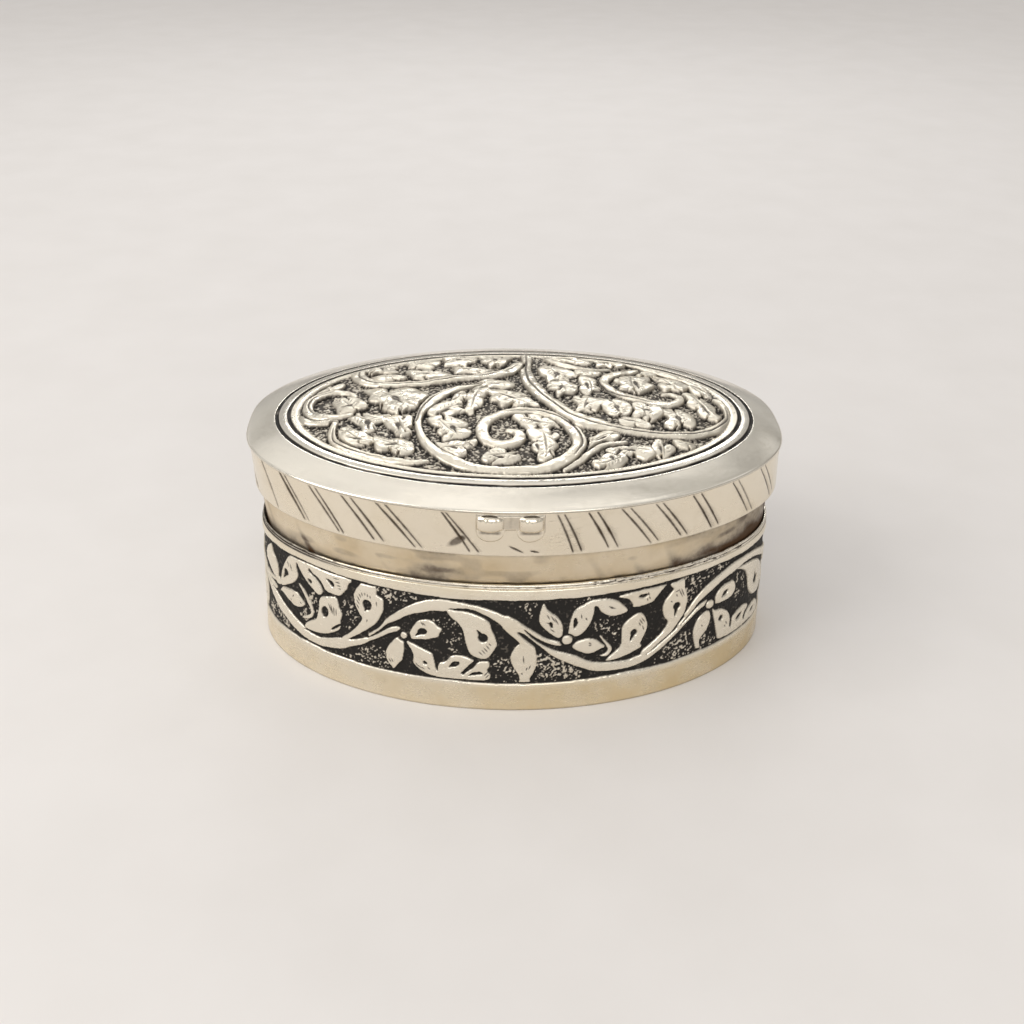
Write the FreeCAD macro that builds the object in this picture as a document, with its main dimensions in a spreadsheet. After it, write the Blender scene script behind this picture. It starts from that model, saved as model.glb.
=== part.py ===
import FreeCAD, Part
import Sketcher
import math
import os

# Oval silver slip-lid pill box.
# Frame: +X along the long axis, the thumb catch faces -Y, +Z up.
# Origin: middle of the flat underside.  All lengths in millimetres.
#
# Base: a flat oval floor plate soldered inside a chased wall band, a plain
# collar soldered inside the top of the wall, and a two-bead seat wire in the
# corner between collar and wall.  Lid: a low domed top plate with a sloping
# border, soldered on a tapering skirt band, with a small two-lobed thumb catch
# on the front of the skirt.  The lid slips down over the collar and its top
# plate rests on the collar's rim, so a strip of the collar stays in sight.
#
# Nearly every oval section is the rim's oval moved inwards by an "inset": its
# half axes are lid_half_length - inset and lid_half_width - inset.

# ---------------------------------------------------------------- dimensions
# alias, value, what it is
DIMENSIONS = [
    ("lid_half_length", 40.0, "half of the rim's length"),
    ("lid_half_width", 27.2, "half of the rim's width"),
    ("wall_height", 20.3, "height of the chased wall band"),
    ("wall_foot_inset", 0.8, "outer face of the wall at its foot"),
    ("wall_top_inset", 1.7, "outer face of the wall at its top"),
    ("wall_thick", 0.6, "sheet thickness of the wall"),
    ("frieze_low", 4.6, "lower border of the chased frieze"),
    ("frieze_high", 18.8, "upper border of the chased frieze"),
    ("frieze_sink", 0.2, "depth of the sunk ground of the frieze"),
    ("floor_thick", 0.8, "floor plate"),
    ("floor_gap", 0.06, "solder gap round the floor plate"),
    ("collar_bottom", 17.2, "lower edge of the collar, inside the wall"),
    ("collar_waist", 26.0, "height where the collar stops flaring"),
    ("collar_top", 33.7, "upper edge of the collar, under the lid"),
    ("collar_foot_inset", 2.32, "outer face of the collar inside the wall"),
    ("collar_head_inset", 1.45, "outer face of the collar inside the skirt"),
    ("collar_thick", 0.6, "sheet thickness of the collar"),
    ("collar_lip", 0.2, "bevel of the collar's upper lip"),
    ("bead_radius", 0.27, "each bead of the seat wire"),
    ("bead_gap", 0.01, "gap between the wall's edge and the lower bead"),
    ("bead_inset", 1.94, "centre line of the lower bead"),
    ("bead_rise", 0.50, "step from the lower bead up to the upper one"),
    ("bead_lean", 0.07, "step outwards from the lower bead to the upper one"),
    ("skirt_bottom", 26.3, "lower edge of the lid's skirt"),
    ("skirt_foot_inset", 0.9, "outer face of the skirt at its lower edge"),
    ("skirt_head_inset", 0.4, "outer face of the skirt under the rim"),
    ("skirt_thick", 0.45, "sheet thickness of the skirt"),
    ("rim_low", 33.5, "underside of the overhanging rim"),
    ("rim_edge", 0.4, "height of the rim's upright edge"),
    ("border_inset", 4.2, "outer engraved ring, at the top of the sloping border"),
    ("border_height", 35.3, "height of the lid at the outer engraved ring"),
    ("panel_inset", 6.6, "inner engraved ring, round the chased panel"),
    ("panel_height", 35.6, "height of the lid at the inner engraved ring"),
    ("crown_height", 37.0, "top of the dome"),
    ("lid_thick", 0.6, "sheet thickness of the lid's top plate"),
    ("under_inset", 0.95, "where the underside of the top plate starts to rise"),
    ("catch_width", 9.4, "width of the thumb catch"),
    ("catch_shift", -1.2, "middle of the catch from the middle of the front"),
    ("catch_low", 28.7, "lower edge of the catch's two lobes"),
    ("catch_high", 33.2, "upper edge of the catch"),
    ("catch_proud", 0.22, "plate of the catch in front of the skirt"),
    ("catch_spare", 2.0, "reach of the catch's blank past the rim, before trimming"),
    ("knuckle_radius", 1.15, "rounded upper bosses of the catch"),
    ("knuckle_height", 31.9, "centre height of the bosses"),
    ("knuckle_depth", 26.05, "distance of the boss centre line from the middle"),
    ("knuckle_margin", 0.25, "from each end of a boss to the edge of its lobe"),
    ("knuckle_round", 0.45, "rounding of the ends of the bosses"),
    ("notch_half", 0.8, "half of the notch between the two lobes"),
]

# Sections of the dome, as shares of the half axes of its panel.
DOME_SHARES = (0.8, 0.6, 0.4, 0.2, 0.04)


class Formula:
    """A number, with the expression over the sheet's dimensions that gives it."""

    def __init__(self, value, text=None):
        self.value = value
        self.text = text or "%g" % value

    def __add__(self, other):
        other = formula(other)
        return Formula(self.value + other.value, "(%s + %s)" % (self.text, other.text))

    def __sub__(self, other):
        other = formula(other)
        return Formula(self.value - other.value, "(%s - %s)" % (self.text, other.text))

    def __mul__(self, other):
        other = formula(other)
        return Formula(self.value * other.value, "(%s * %s)" % (self.text, other.text))

    def __truediv__(self, other):
        other = formula(other)
        return Formula(self.value / other.value, "(%s / %s)" % (self.text, other.text))

    def __neg__(self):
        return Formula(0) - self

    def __rmul__(self, other):
        return formula(other) * self


def formula(number):
    return number if isinstance(number, Formula) else Formula(number)


class Sizes:
    """Every dimension as a Formula, under its alias."""


doc = FreeCAD.newDocument("pill_box")
sheet = doc.addObject("Spreadsheet::Sheet", "Dims")
size = Sizes()
for row, (alias, value, note) in enumerate(DIMENSIONS, 1):
    sheet.set("A%d" % row, alias)
    sheet.set("B%d" % row, "%g" % value)
    sheet.set("C%d" % row, note)
    sheet.setAlias("B%d" % row, alias)
    setattr(size, alias, Formula(value, "Dims." + alias))
doc.recompute()


# ---------------------------------------------------------------- helpers
def new_body(name):
    return doc.addObject("PartDesign::Body", name)


def bind(obj, prop, number):
    obj.setExpression(prop, formula(number).text)


def new_sketch(body, name, role):
    """Empty sketch on one of the body's base planes."""
    plane = [f for f in body.Origin.OriginFeatures if f.Role == role][0]
    sketch = body.newObject("Sketcher::SketchObject", name)
    sketch.AttachmentSupport = [(plane, "")]
    sketch.MapMode = "FlatFace"
    return sketch


def constrain(sketch, name, kind, points, number):
    """Named dimensional constraint, driven by the sheet."""
    index = sketch.addConstraint(Sketcher.Constraint(kind, *points, number.value))
    sketch.renameConstraint(index, name)
    bind(sketch, "Constraints." + name, number)


def oval(body, name, half_length, half_width, height):
    """Level sketch of one oval section."""
    sketch = new_sketch(body, name, "XY_Plane")
    bind(sketch, "AttachmentOffset.Base.z", height)
    ellipse = sketch.addGeometry(Part.Ellipse(FreeCAD.Vector(half_length.value, 0, 0),
                                              FreeCAD.Vector(0, half_width.value, 0),
                                              FreeCAD.Vector(0, 0, 0)), False)
    sketch.exposeInternalGeometry(ellipse)
    long_axis, short_axis = ellipse + 1, ellipse + 2
    sketch.addConstraint(Sketcher.Constraint("Coincident", ellipse, 3, -1, 1))
    sketch.addConstraint(Sketcher.Constraint("Horizontal", long_axis))
    constrain(sketch, "full_length", "Distance", (long_axis,), 2 * half_length)
    constrain(sketch, "full_width", "Distance", (short_axis,), 2 * half_width)
    return sketch


def inset_oval(body, name, inset, height):
    return oval(body, name, size.lid_half_length - inset, size.lid_half_width - inset, height)


def stack(body, name, sections, cut=False):
    """Straight-sided loft through (inset, height) pairs or finished oval sketches."""
    sketches = [inset_oval(body, "%s_%d" % (name, i), *section)
                if isinstance(section, tuple) else section
                for i, section in enumerate(sections)]
    doc.recompute()
    volume_before = body.Shape.Volume if cut else 0.0
    kind = "PartDesign::SubtractiveLoft" if cut else "PartDesign::AdditiveLoft"
    loft = body.newObject(kind, name)
    loft.Profile = sketches[0]
    loft.Sections = sketches[1:]
    loft.Ruled = True
    doc.recompute()
    if cut and not loft.Shape.Volume < volume_before - 1.0:
        raise RuntimeError(name + " removed nothing")


# ---------------------------------------------------------------- base
def make_floor():
    body = new_body("base_floor")
    outline = inset_oval(body, "floor_outline",
                         size.wall_foot_inset + size.wall_thick + size.floor_gap, 0)
    doc.recompute()
    plate = body.newObject("PartDesign::Pad", "floor_plate")
    plate.Profile = outline
    bind(plate, "Length", size.floor_thick)
    doc.recompute()
    return body


def make_wall():
    """Wall leaning in towards its top, its frieze sunk between two plain bands."""
    lean = (size.wall_top_inset - size.wall_foot_inset) / size.wall_height

    def wall_at(height, depth):
        return size.wall_foot_inset + lean * height + depth, height

    body = new_body("base_wall")
    stack(body, "wall_outside", [
        wall_at(0, 0),
        wall_at(size.frieze_low, 0),
        wall_at(size.frieze_low + size.frieze_sink, size.frieze_sink),
        wall_at(size.frieze_high - size.frieze_sink, size.frieze_sink),
        wall_at(size.frieze_high, 0),
        wall_at(size.wall_height, 0),
    ])
    stack(body, "wall_inside", [
        wall_at(0, size.wall_thick),
        wall_at(size.wall_height, size.wall_thick),
    ], cut=True)
    return body


def make_collar():
    """Collar upright inside the wall, flaring above it, then upright in the skirt."""
    body = new_body("neck_collar")
    stack(body, "collar_outside", [
        (size.collar_foot_inset, size.collar_bottom),
        (size.collar_foot_inset, size.wall_height),
        (size.collar_head_inset, size.collar_waist),
        (size.collar_head_inset, size.collar_top - size.collar_lip),
        (size.collar_head_inset + size.collar_lip, size.collar_top),
    ])
    foot_inside = size.collar_foot_inset + size.collar_thick
    head_inside = size.collar_head_inset + size.collar_thick
    stack(body, "collar_inside", [
        (foot_inside, size.collar_bottom),
        (foot_inside, size.wall_height),
        (head_inside, size.collar_waist),
        (head_inside, size.collar_top),
    ], cut=True)
    return body


def add_bead(body, name, inset, height):
    """Round wire swept along an oval."""
    path = inset_oval(body, name + "_path", inset, height)
    section = new_sketch(body, name + "_round", "XZ_Plane")
    across = size.lid_half_length - inset
    circle = section.addGeometry(Part.Circle(FreeCAD.Vector(across.value, height.value, 0),
                                             FreeCAD.Vector(0, 0, 1),
                                             size.bead_radius.value), False)
    constrain(section, "across", "DistanceX", (-1, 1, circle, 3), across)
    constrain(section, "up", "DistanceY", (-1, 1, circle, 3), height)
    constrain(section, "round", "Radius", (circle,), size.bead_radius)
    doc.recompute()
    pipe = body.newObject("PartDesign::AdditivePipe", name)
    pipe.Profile = section
    pipe.Spine = (path, ["Edge1"])
    pipe.Mode = "Frenet"
    doc.recompute()


def make_seat_wire():
    """Two soldered beads round the foot of the collar, on the wall's edge."""
    body = new_body("seat_wire")
    height = size.wall_height + size.bead_radius + size.bead_gap
    add_bead(body, "lower_bead", size.bead_inset, height)
    add_bead(body, "upper_bead", size.bead_inset - size.bead_lean, height + size.bead_rise)
    return body


# ---------------------------------------------------------------- lid
def dome(body, tag, drop):
    """Ovals from inside the panel's edge up to the crown, lowered by drop."""
    half_length = size.lid_half_length - size.panel_inset
    half_width = size.lid_half_width - size.panel_inset
    bulge = size.crown_height - size.panel_height
    return [oval(body, "%s_dome_%d" % (tag, i), half_length * share, half_width * share,
                 size.panel_height + bulge * (1.0 - share * share) - drop)
            for i, share in enumerate(DOME_SHARES)]


def make_lid_top():
    body = new_body("lid_top")
    stack(body, "plate_outside", [
        (0, size.rim_low),
        (0, size.rim_low + size.rim_edge),
        (size.border_inset, size.border_height),
        (size.panel_inset, size.panel_height),
    ] + dome(body, "out", 0))
    stack(body, "plate_inside", [
        (size.under_inset, size.rim_low),
        (size.border_inset, size.border_height - size.lid_thick),
        (size.panel_inset, size.panel_height - size.lid_thick),
    ] + dome(body, "in", size.lid_thick), cut=True)
    return body


def skirt_form(body, name, depth, cut=False):
    """Loft the skirt's outer face, moved inwards by depth."""
    stack(body, name, [
        (size.skirt_foot_inset + depth, size.skirt_bottom),
        (size.skirt_head_inset + depth, size.rim_low),
    ], cut)


def make_skirt():
    body = new_body("lid_skirt")
    skirt_form(body, "skirt_outside", 0)
    skirt_form(body, "skirt_inside", size.skirt_thick, cut=True)
    return body


# ---------------------------------------------------------------- thumb catch
def catch_outline(body):
    """Front view of the catch: square above, two round lobes below."""
    half = size.catch_width / 2
    lobe_radius = (half - size.notch_half) / 2
    knee = size.catch_low + lobe_radius
    side_x, notch_x, knee_z = half.value, size.notch_half.value, knee.value
    lobe_x, top_z = notch_x + lobe_radius.value, size.catch_high.value

    def line(x1, z1, x2, z2):
        return Part.LineSegment(FreeCAD.Vector(x1, z1, 0), FreeCAD.Vector(x2, z2, 0))

    def lobe(x):
        circle = Part.Circle(FreeCAD.Vector(x, knee_z, 0), FreeCAD.Vector(0, 0, 1),
                             lobe_radius.value)
        return Part.ArcOfCircle(circle, math.pi, 2 * math.pi)

    sketch = new_sketch(body, "catch_outline", "XZ_Plane")
    left, left_lobe, notch, right_lobe, right, upper = [
        sketch.addGeometry(edge, False) for edge in (
            line(-side_x, top_z, -side_x, knee_z),
            lobe(-lobe_x),
            line(-notch_x, knee_z, notch_x, knee_z),
            lobe(lobe_x),
            line(side_x, knee_z, side_x, top_z),
            line(side_x, top_z, -side_x, top_z),
        )]
    ring = [left, left_lobe, notch, right_lobe, right, upper]
    for edge, following in zip(ring, ring[1:] + ring[:1]):
        sketch.addConstraint(Sketcher.Constraint("Coincident", edge, 2, following, 1))
    for edge in (left, right):
        sketch.addConstraint(Sketcher.Constraint("Vertical", edge))
    for edge in (left_lobe, right_lobe):
        sketch.addConstraint(Sketcher.Constraint("Horizontal", edge, 1, edge, 3))
        sketch.addConstraint(Sketcher.Constraint("Horizontal", edge, 3, edge, 2))
    for edge in (notch, upper):
        sketch.addConstraint(Sketcher.Constraint("Symmetric", edge, 1, edge, 2, -2))
    constrain(sketch, "wide", "DistanceX", (left, 1, right, 2), size.catch_width)
    constrain(sketch, "notch", "DistanceX", (notch, 1, notch, 2), 2 * size.notch_half)
    constrain(sketch, "tall", "DistanceY", (-1, 1, upper, 1), size.catch_high)
    constrain(sketch, "foot", "DistanceY", (-1, 1, left_lobe, 3), knee)
    doc.recompute()
    bind(sketch, "AttachmentOffset.Base.x", size.catch_shift)
    doc.recompute()
    return sketch


def make_knuckle(name, start):
    """Boss lying along X from start, with rounded ends."""
    bar = doc.addObject("Part::Cylinder", name)
    bind(bar, "Radius", size.knuckle_radius)
    bind(bar, "Height", size.catch_width / 2 - size.notch_half - 2 * size.knuckle_margin)
    bar.Placement = FreeCAD.Placement(
        FreeCAD.Vector(start.value, -size.knuckle_depth.value, size.knuckle_height.value),
        FreeCAD.Rotation(FreeCAD.Vector(0, 1, 0), 90))
    bind(bar, "Placement.Base.x", start)
    bind(bar, "Placement.Base.y", -size.knuckle_depth)
    bind(bar, "Placement.Base.z", size.knuckle_height)
    doc.recompute()
    soft = doc.addObject("Part::Fillet", name + "_soft")
    soft.Base = bar
    radius = size.knuckle_round.value
    soft.Edges = [(edge, radius, radius) for edge in (1, 3)]  # the two end circles
    return soft


def make_catch():
    """Thin two-lobed plate, a boss over each lobe, fitted to the skirt's front."""
    # The blank runs from the middle of the box out through the front of the rim.
    blank = new_body("catch_blank")
    outline = catch_outline(blank)
    pad = blank.newObject("PartDesign::Pad", "catch_plate")
    pad.Profile = outline
    bind(pad, "Length", size.lid_half_width + size.catch_spare)
    doc.recompute()

    # The front form gives the plate's face, the back form the skirt's face.
    front = new_body("catch_front_form")
    skirt_form(front, "front_form", -size.catch_proud)
    back = new_body("catch_back_form")
    skirt_form(back, "back_form", 0)

    knuckles = [
        make_knuckle("left_knuckle",
                     size.catch_shift + size.knuckle_margin - size.catch_width / 2),
        make_knuckle("right_knuckle",
                     size.catch_shift + size.notch_half + size.knuckle_margin),
    ]
    trimmed = doc.addObject("Part::Common", "catch_plate_trimmed")
    trimmed.Base = blank
    trimmed.Tool = front
    doc.recompute()
    joined = doc.addObject("Part::MultiFuse", "catch_joined")
    joined.Shapes = [trimmed] + knuckles
    doc.recompute()
    piece = doc.addObject("Part::Cut", "thumb_catch")
    piece.Base = joined
    piece.Tool = back
    doc.recompute()
    return piece


# ---------------------------------------------------------------- build and export
pieces = {
    "base_floor": make_floor(),
    "base_wall": make_wall(),
    "neck_collar": make_collar(),
    "seat_wire": make_seat_wire(),
    "lid_top": make_lid_top(),
    "lid_skirt": make_skirt(),
    "thumb_catch": make_catch(),
}
doc.recompute()

for obj in doc.Objects:
    for bad in ("Invalid", "Error"):
        if bad in obj.State:
            raise RuntimeError("%s is %s" % (obj.Label, bad))
for name, piece in pieces.items():
    if piece.Shape.isNull() or not piece.Shape.isValid():
        raise RuntimeError(name + " has no valid shape")
    if len(piece.Shape.Solids) != 1:
        raise RuntimeError("%s has %d solids" % (name, len(piece.Shape.Solids)))

os.makedirs("parts", exist_ok=True)
for name, piece in pieces.items():
    piece.Shape.exportStep(os.path.join("parts", name + ".step"))
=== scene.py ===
"""Oval silver pill box: the visible pieces, their finishes, light and camera."""

import math

import bpy
import numpy as np
from mathutils import Matrix, Vector


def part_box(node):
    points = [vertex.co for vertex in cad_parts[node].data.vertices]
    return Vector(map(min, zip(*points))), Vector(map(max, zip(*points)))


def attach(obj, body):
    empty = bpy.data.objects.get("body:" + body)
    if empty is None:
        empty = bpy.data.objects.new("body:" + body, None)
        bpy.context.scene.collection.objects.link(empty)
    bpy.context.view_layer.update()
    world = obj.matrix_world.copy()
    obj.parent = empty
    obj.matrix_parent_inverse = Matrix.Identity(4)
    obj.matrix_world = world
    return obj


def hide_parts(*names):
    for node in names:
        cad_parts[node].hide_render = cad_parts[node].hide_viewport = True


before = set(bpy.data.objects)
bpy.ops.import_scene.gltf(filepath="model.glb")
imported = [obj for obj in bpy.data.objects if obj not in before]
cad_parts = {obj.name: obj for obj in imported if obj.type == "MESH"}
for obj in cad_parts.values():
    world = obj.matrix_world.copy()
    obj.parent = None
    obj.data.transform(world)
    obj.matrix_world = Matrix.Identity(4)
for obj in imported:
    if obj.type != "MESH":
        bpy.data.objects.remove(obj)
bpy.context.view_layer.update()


# ------------------------------------------------------------------ drawing
# Ornament is drawn as closed outlines and strokes of changing width, in
# millimetres on the flattened surface, then turned into heights and tones.
class Canvas:
    def __init__(self, x0, x1, y0, y1, step):
        self.x0, self.y0, self.step = x0, y0, step
        self.nx = int(round((x1 - x0) / step)) + 1
        self.ny = int(round((y1 - y0) / step)) + 1

    def blank(self, value=0.0):
        return np.full((self.ny, self.nx), value, np.float32)

    def window(self, xa, xb, ya, yb):
        i0 = max(0, int((xa - self.x0) / self.step) - 1)
        i1 = min(self.nx, int((xb - self.x0) / self.step) + 3)
        j0 = max(0, int((ya - self.y0) / self.step) - 1)
        j1 = min(self.ny, int((yb - self.y0) / self.step) + 3)
        if i0 >= i1 or j0 >= j1:
            return None
        xs = self.x0 + self.step * np.arange(i0, i1, dtype=np.float32)
        ys = self.y0 + self.step * np.arange(j0, j1, dtype=np.float32)
        return (slice(j0, j1), slice(i0, i1)), xs[None, :], ys[:, None]

    def paint(self, layer, where, cover, value=1.0):
        part = layer[where]
        part += (value - part) * np.clip(cover, 0, 1)

    def blob(self, layer, pts, value=1.0, grow=0.0, smooth=True, soft=0.0):
        """Fill a closed outline.  grow swells it, soft widens its edge."""
        p = spline(pts, True, 8) if smooth else np.array(pts, np.float32)
        m = abs(grow) + soft + 2 * self.step
        win = self.window(p[:, 0].min() - m, p[:, 0].max() + m,
                          p[:, 1].min() - m, p[:, 1].max() + m)
        if win is None:
            return
        where, X, Y = win
        d2 = np.full(np.broadcast(X, Y).shape, 1e9, np.float32)
        inside = np.zeros(d2.shape, bool)
        q = np.roll(p, -1, 0)
        for (ax, ay), (bx, by) in zip(p, q):
            ex, ey = bx - ax, by - ay
            L = ex * ex + ey * ey
            if L < 1e-12:
                continue
            t = np.clip(((X - ax) * ex + (Y - ay) * ey) / L, 0, 1)
            dx, dy = X - (ax + t * ex), Y - (ay + t * ey)
            np.minimum(d2, dx * dx + dy * dy, out=d2)
            if ay != by:
                hit = ((Y >= min(ay, by)) & (Y < max(ay, by)) &
                       (X < ax + (Y - ay) * ex / ey))
                inside ^= np.broadcast_to(hit, inside.shape)
        d = np.sqrt(d2)
        sd = np.where(inside, d, -d) + grow
        self.paint(layer, where, sd / (self.step + soft) + 0.5, value)

    def stroke(self, layer, pts, value=1.0, grow=0.0, soft=0.0, closed=False):
        """Stroke through (x, y, width) points, the width changing smoothly."""
        p = spline(pts, closed, 8)
        m = p[:, 2].max() / 2 + grow + soft + 2 * self.step
        win = self.window(p[:, 0].min() - m, p[:, 0].max() + m,
                          p[:, 1].min() - m, p[:, 1].max() + m)
        if win is None:
            return
        where, X, Y = win
        best = np.full(np.broadcast(X, Y).shape, -1e9, np.float32)
        a = p if closed else p[:-1]
        b = np.roll(p, -1, 0) if closed else p[1:]
        for (ax, ay, aw), (bx, by, bw) in zip(a, b):
            mm = max(aw, bw) / 2 + grow + soft + 2 * self.step
            i0 = np.searchsorted(X[0], min(ax, bx) - mm)
            i1 = np.searchsorted(X[0], max(ax, bx) + mm)
            j0 = np.searchsorted(Y[:, 0], min(ay, by) - mm)
            j1 = np.searchsorted(Y[:, 0], max(ay, by) + mm)
            if i0 >= i1 or j0 >= j1:
                continue
            x, y = X[:, i0:i1], Y[j0:j1]
            ex, ey = bx - ax, by - ay
            L = ex * ex + ey * ey + 1e-12
            t = np.clip(((x - ax) * ex + (y - ay) * ey) / L, 0, 1)
            d = np.hypot(x - (ax + t * ex), y - (ay + t * ey))
            sd = (aw + (bw - aw) * t) / 2 - d
            np.maximum(best[j0:j1, i0:i1], sd, out=best[j0:j1, i0:i1])
        self.paint(layer, where, (best + grow) / (self.step + soft) + 0.5, value)

    def disc(self, layer, x, y, r, value=1.0, ry=None, turn=0.0, soft=0.0):
        ry = r if ry is None else ry
        m = max(r, ry) + soft + 2 * self.step
        win = self.window(x - m, x + m, y - m, y + m)
        if win is None:
            return
        where, X, Y = win
        c, s = math.cos(math.radians(turn)), math.sin(math.radians(turn))
        u, v = (X - x) * c + (Y - y) * s, -(X - x) * s + (Y - y) * c
        k = np.sqrt((u / r) ** 2 + (v / ry) ** 2)
        self.paint(layer, where, (1 - k) * min(r, ry) / (self.step + soft) + 0.5, value)

    def sample(self, layer, x, y):
        fx = np.clip((x - self.x0) / self.step, 0, self.nx - 1.001)
        fy = np.clip((y - self.y0) / self.step, 0, self.ny - 1.001)
        i, j = fx.astype(int), fy.astype(int)
        u, v = fx - i, fy - j
        return ((layer[j, i] * (1 - u) + layer[j, i + 1] * u) * (1 - v) +
                (layer[j + 1, i] * (1 - u) + layer[j + 1, i + 1] * u) * v)


def spline(pts, closed, per):
    """Smooth curve through the points (any number of columns)."""
    p = np.array(pts, np.float32)
    n = len(p)
    if n < 3:
        return p
    if closed:
        g = lambda k: p[k % n]
        last = n
    else:
        g = lambda k: p[min(max(k, 0), n - 1)]
        last = n - 1
    out = []
    for k in range(last):
        a, b, c, d = g(k - 1), g(k), g(k + 1), g(k + 2)
        for i in range(per):
            t = i / per
            out.append(0.5 * (2 * b + (c - a) * t + (2 * a - 5 * b + 4 * c - d) * t * t +
                              (3 * b - a - 3 * c + d) * t ** 3))
    if not closed:
        out.append(p[-1])
    return np.array(out, np.float32)


def blur(layer, radius, step, wrap=False):
    """Gaussian blur of radius millimetres."""
    s = radius / step
    if s < 0.2:
        return layer.copy()
    n = max(1, int(3 * s + 0.5))
    k = np.exp(-0.5 * (np.arange(-n, n + 1) / s) ** 2)
    k = (k / k.sum()).astype(np.float32)
    out = layer
    for axis in (0, 1):
        pad = [(0, 0), (0, 0)]
        pad[axis] = (n, n)
        src = np.pad(out, pad, mode="wrap" if (wrap and axis == 1) else "edge")
        acc = np.zeros_like(out)
        for i, w in enumerate(k):
            sl = [slice(None), slice(None)]
            sl[axis] = slice(i, i + out.shape[axis])
            acc += w * src[tuple(sl)]
        out = acc
    return out


def grain(canvas, seed, size, wrap=False):
    """Even noise, about -1..1, whose lumps are size millimetres across."""
    rng = np.random.default_rng(seed)
    n = rng.standard_normal((canvas.ny, canvas.nx)).astype(np.float32)
    n = blur(n, size * 0.42, canvas.step, wrap)
    return n / (n.std() + 1e-9)


def ease(x, a, b):
    t = np.clip((x - a) / (b - a), 0, 1)
    return t * t * (3 - 2 * t)


# ------------------------------------------------------------------- frieze
# Drawn along the flattened wall: s runs to the right from the middle of the
# front, z is the height.  One repeat of the vine is REPEAT long.
REPEAT = 46.05
FIELD_LOW, FIELD_HIGH = 4.6, 18.8

BORDER_HIGH = [(-46, 18.62), (-40, 18.8), (-32, 19.0), (-25, 18.78), (-20, 18.62), (-10, 18.3),
               (0, 18.38), (10, 18.5), (15, 18.68), (20, 18.8), (25, 18.92), (30, 18.98),
               (37, 18.85), (46, 18.62)]
BORDER_LOW = [(-46, 4.85), (-40, 5.0), (-32, 5.08), (-27, 4.95), (-20, 4.85), (-10, 4.82),
              (0, 4.66), (5, 4.7), (10, 4.8), (15, 5.02), (20, 5.0), (28, 5.1), (35, 5.08), (46, 4.85)]

# main stem, one repeat from the flower at s = -16 to the next one at s = 30
VINE_A = [(-21.5, 10.1, .42), (-20.4, 11.05, .5), (-19.5, 12.0, .6), (-18.6, 13.1, .85),
          (-17.6, 14.0, 1.05), (-16.4, 14.98, 1.15), (-15, 15.88, 1.35), (-13.6, 16.5, 1.7),
          (-12.2, 16.98, 1.8), (-10.7, 17.15, 1.85), (-9.3, 17.35, 1.35), (-7.6, 17.35, .85),
          (-5.9, 17.08, .85), (-4.6, 16.62, 1.0), (-3.4, 16.1, 1.2), (-2.1, 15.3, 1.5),
          (-1.0, 14.4, 1.5), (0.2, 13.85, .9), (1.2, 13.1, .42), (2.5, 11.9, .5), (3.85, 10.75, .65),
          (5, 9.82, .95), (6.35, 9.05, 1.25), (8.1, 8.2, 1.5), (10, 7.15, 1.35), (11.5, 6.62, 1.45),
          (13.3, 6.38, 1.45), (16, 6.27, 1.35), (17.7, 6.6, 1.4), (19.4, 7.1, 1.1), (21.1, 8.0, .85),
          (23.1, 9.35, .75), (24.6, 10.55, .7)]
VINE_A_NEXT = [(24.2, 10.6, .42), (25.0, 11.6, .7), (26.0, 12.75, .9), (27.0, 13.9, 1.0),
               (28.2, 14.9, 1.2), (29.5, 15.6, 1.4), (31, 16.3, 1.35), (32.5, 16.85, 1.4),
               (34, 17.2, 1.55), (35.5, 17.45, 1.4), (37.2, 17.5, 1.15), (39, 17.35, 1.1),
               (40.8, 16.8, 1.15), (42.5, 16.0, 1.3), (44.0, 15.25, 1.5), (45.0, 14.5, 1.5),
               (46.2, 13.9, .9), (47.3, 13.1, .45)]
VINE_LEFT = [(-43.55, 11.9, .5), (-42.2, 10.85, .8), (-41.0, 10.0, 1.3), (-39.9, 9.35, 1.7),
             (-38.7, 8.65, 1.85), (-37.1, 7.9, 1.85), (-35.4, 7.15, 1.85), (-33.5, 6.5, 1.75),
             (-32, 6.1, 1.4), (-30.2, 6.03, 1.4), (-28.8, 6.35, 1.5), (-27.3, 6.85, 1.7),
             (-26.1, 7.25, 1.75), (-24.8, 7.72, 1.15), (-23.0, 8.5, .9), (-21.6, 9.4, .6),
             (-20.4, 10.12, .55), (-19.5, 10.8, .6), (-18.6, 11.5, .7), (-17.9, 11.9, .8),
             (-17.1, 12.2, .7)]
STALK_B = [(-24.3, 7.9, .9), (-22.9, 8.55, .9), (-21.6, 9.35, .6), (-20.4, 10.12, .55), (-19.5, 10.8, .6),
           (-18.6, 11.5, .7), (-17.9, 11.9, .8), (-17.1, 12.2, .7)]
STALK_C = [(-1.6, 15.4, 1.3), (-.4, 14.95, .9), (.95, 14.1, .55), (2.3, 13.05, .65), (3.85, 11.95, .6),
           (5.3, 11.35, .7), (6.2, 11.1, .6)]
STALK_G = [(-1.5, 14.3, 1.2), (-.6, 13.35, 1.2), (.3, 12.4, 1.1), (1.2, 11.3, 1.2), (1.3, 10.4, 1.6)]
STALK_E = [(23.0, 9.3, .5), (24.0, 10.0, .5), (24.9, 10.65, .45), (26.1, 11.6, .5), (27.3, 12.5, .6),
           (28.4, 13.05, .7), (29.2, 13.3, .6)]

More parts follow.
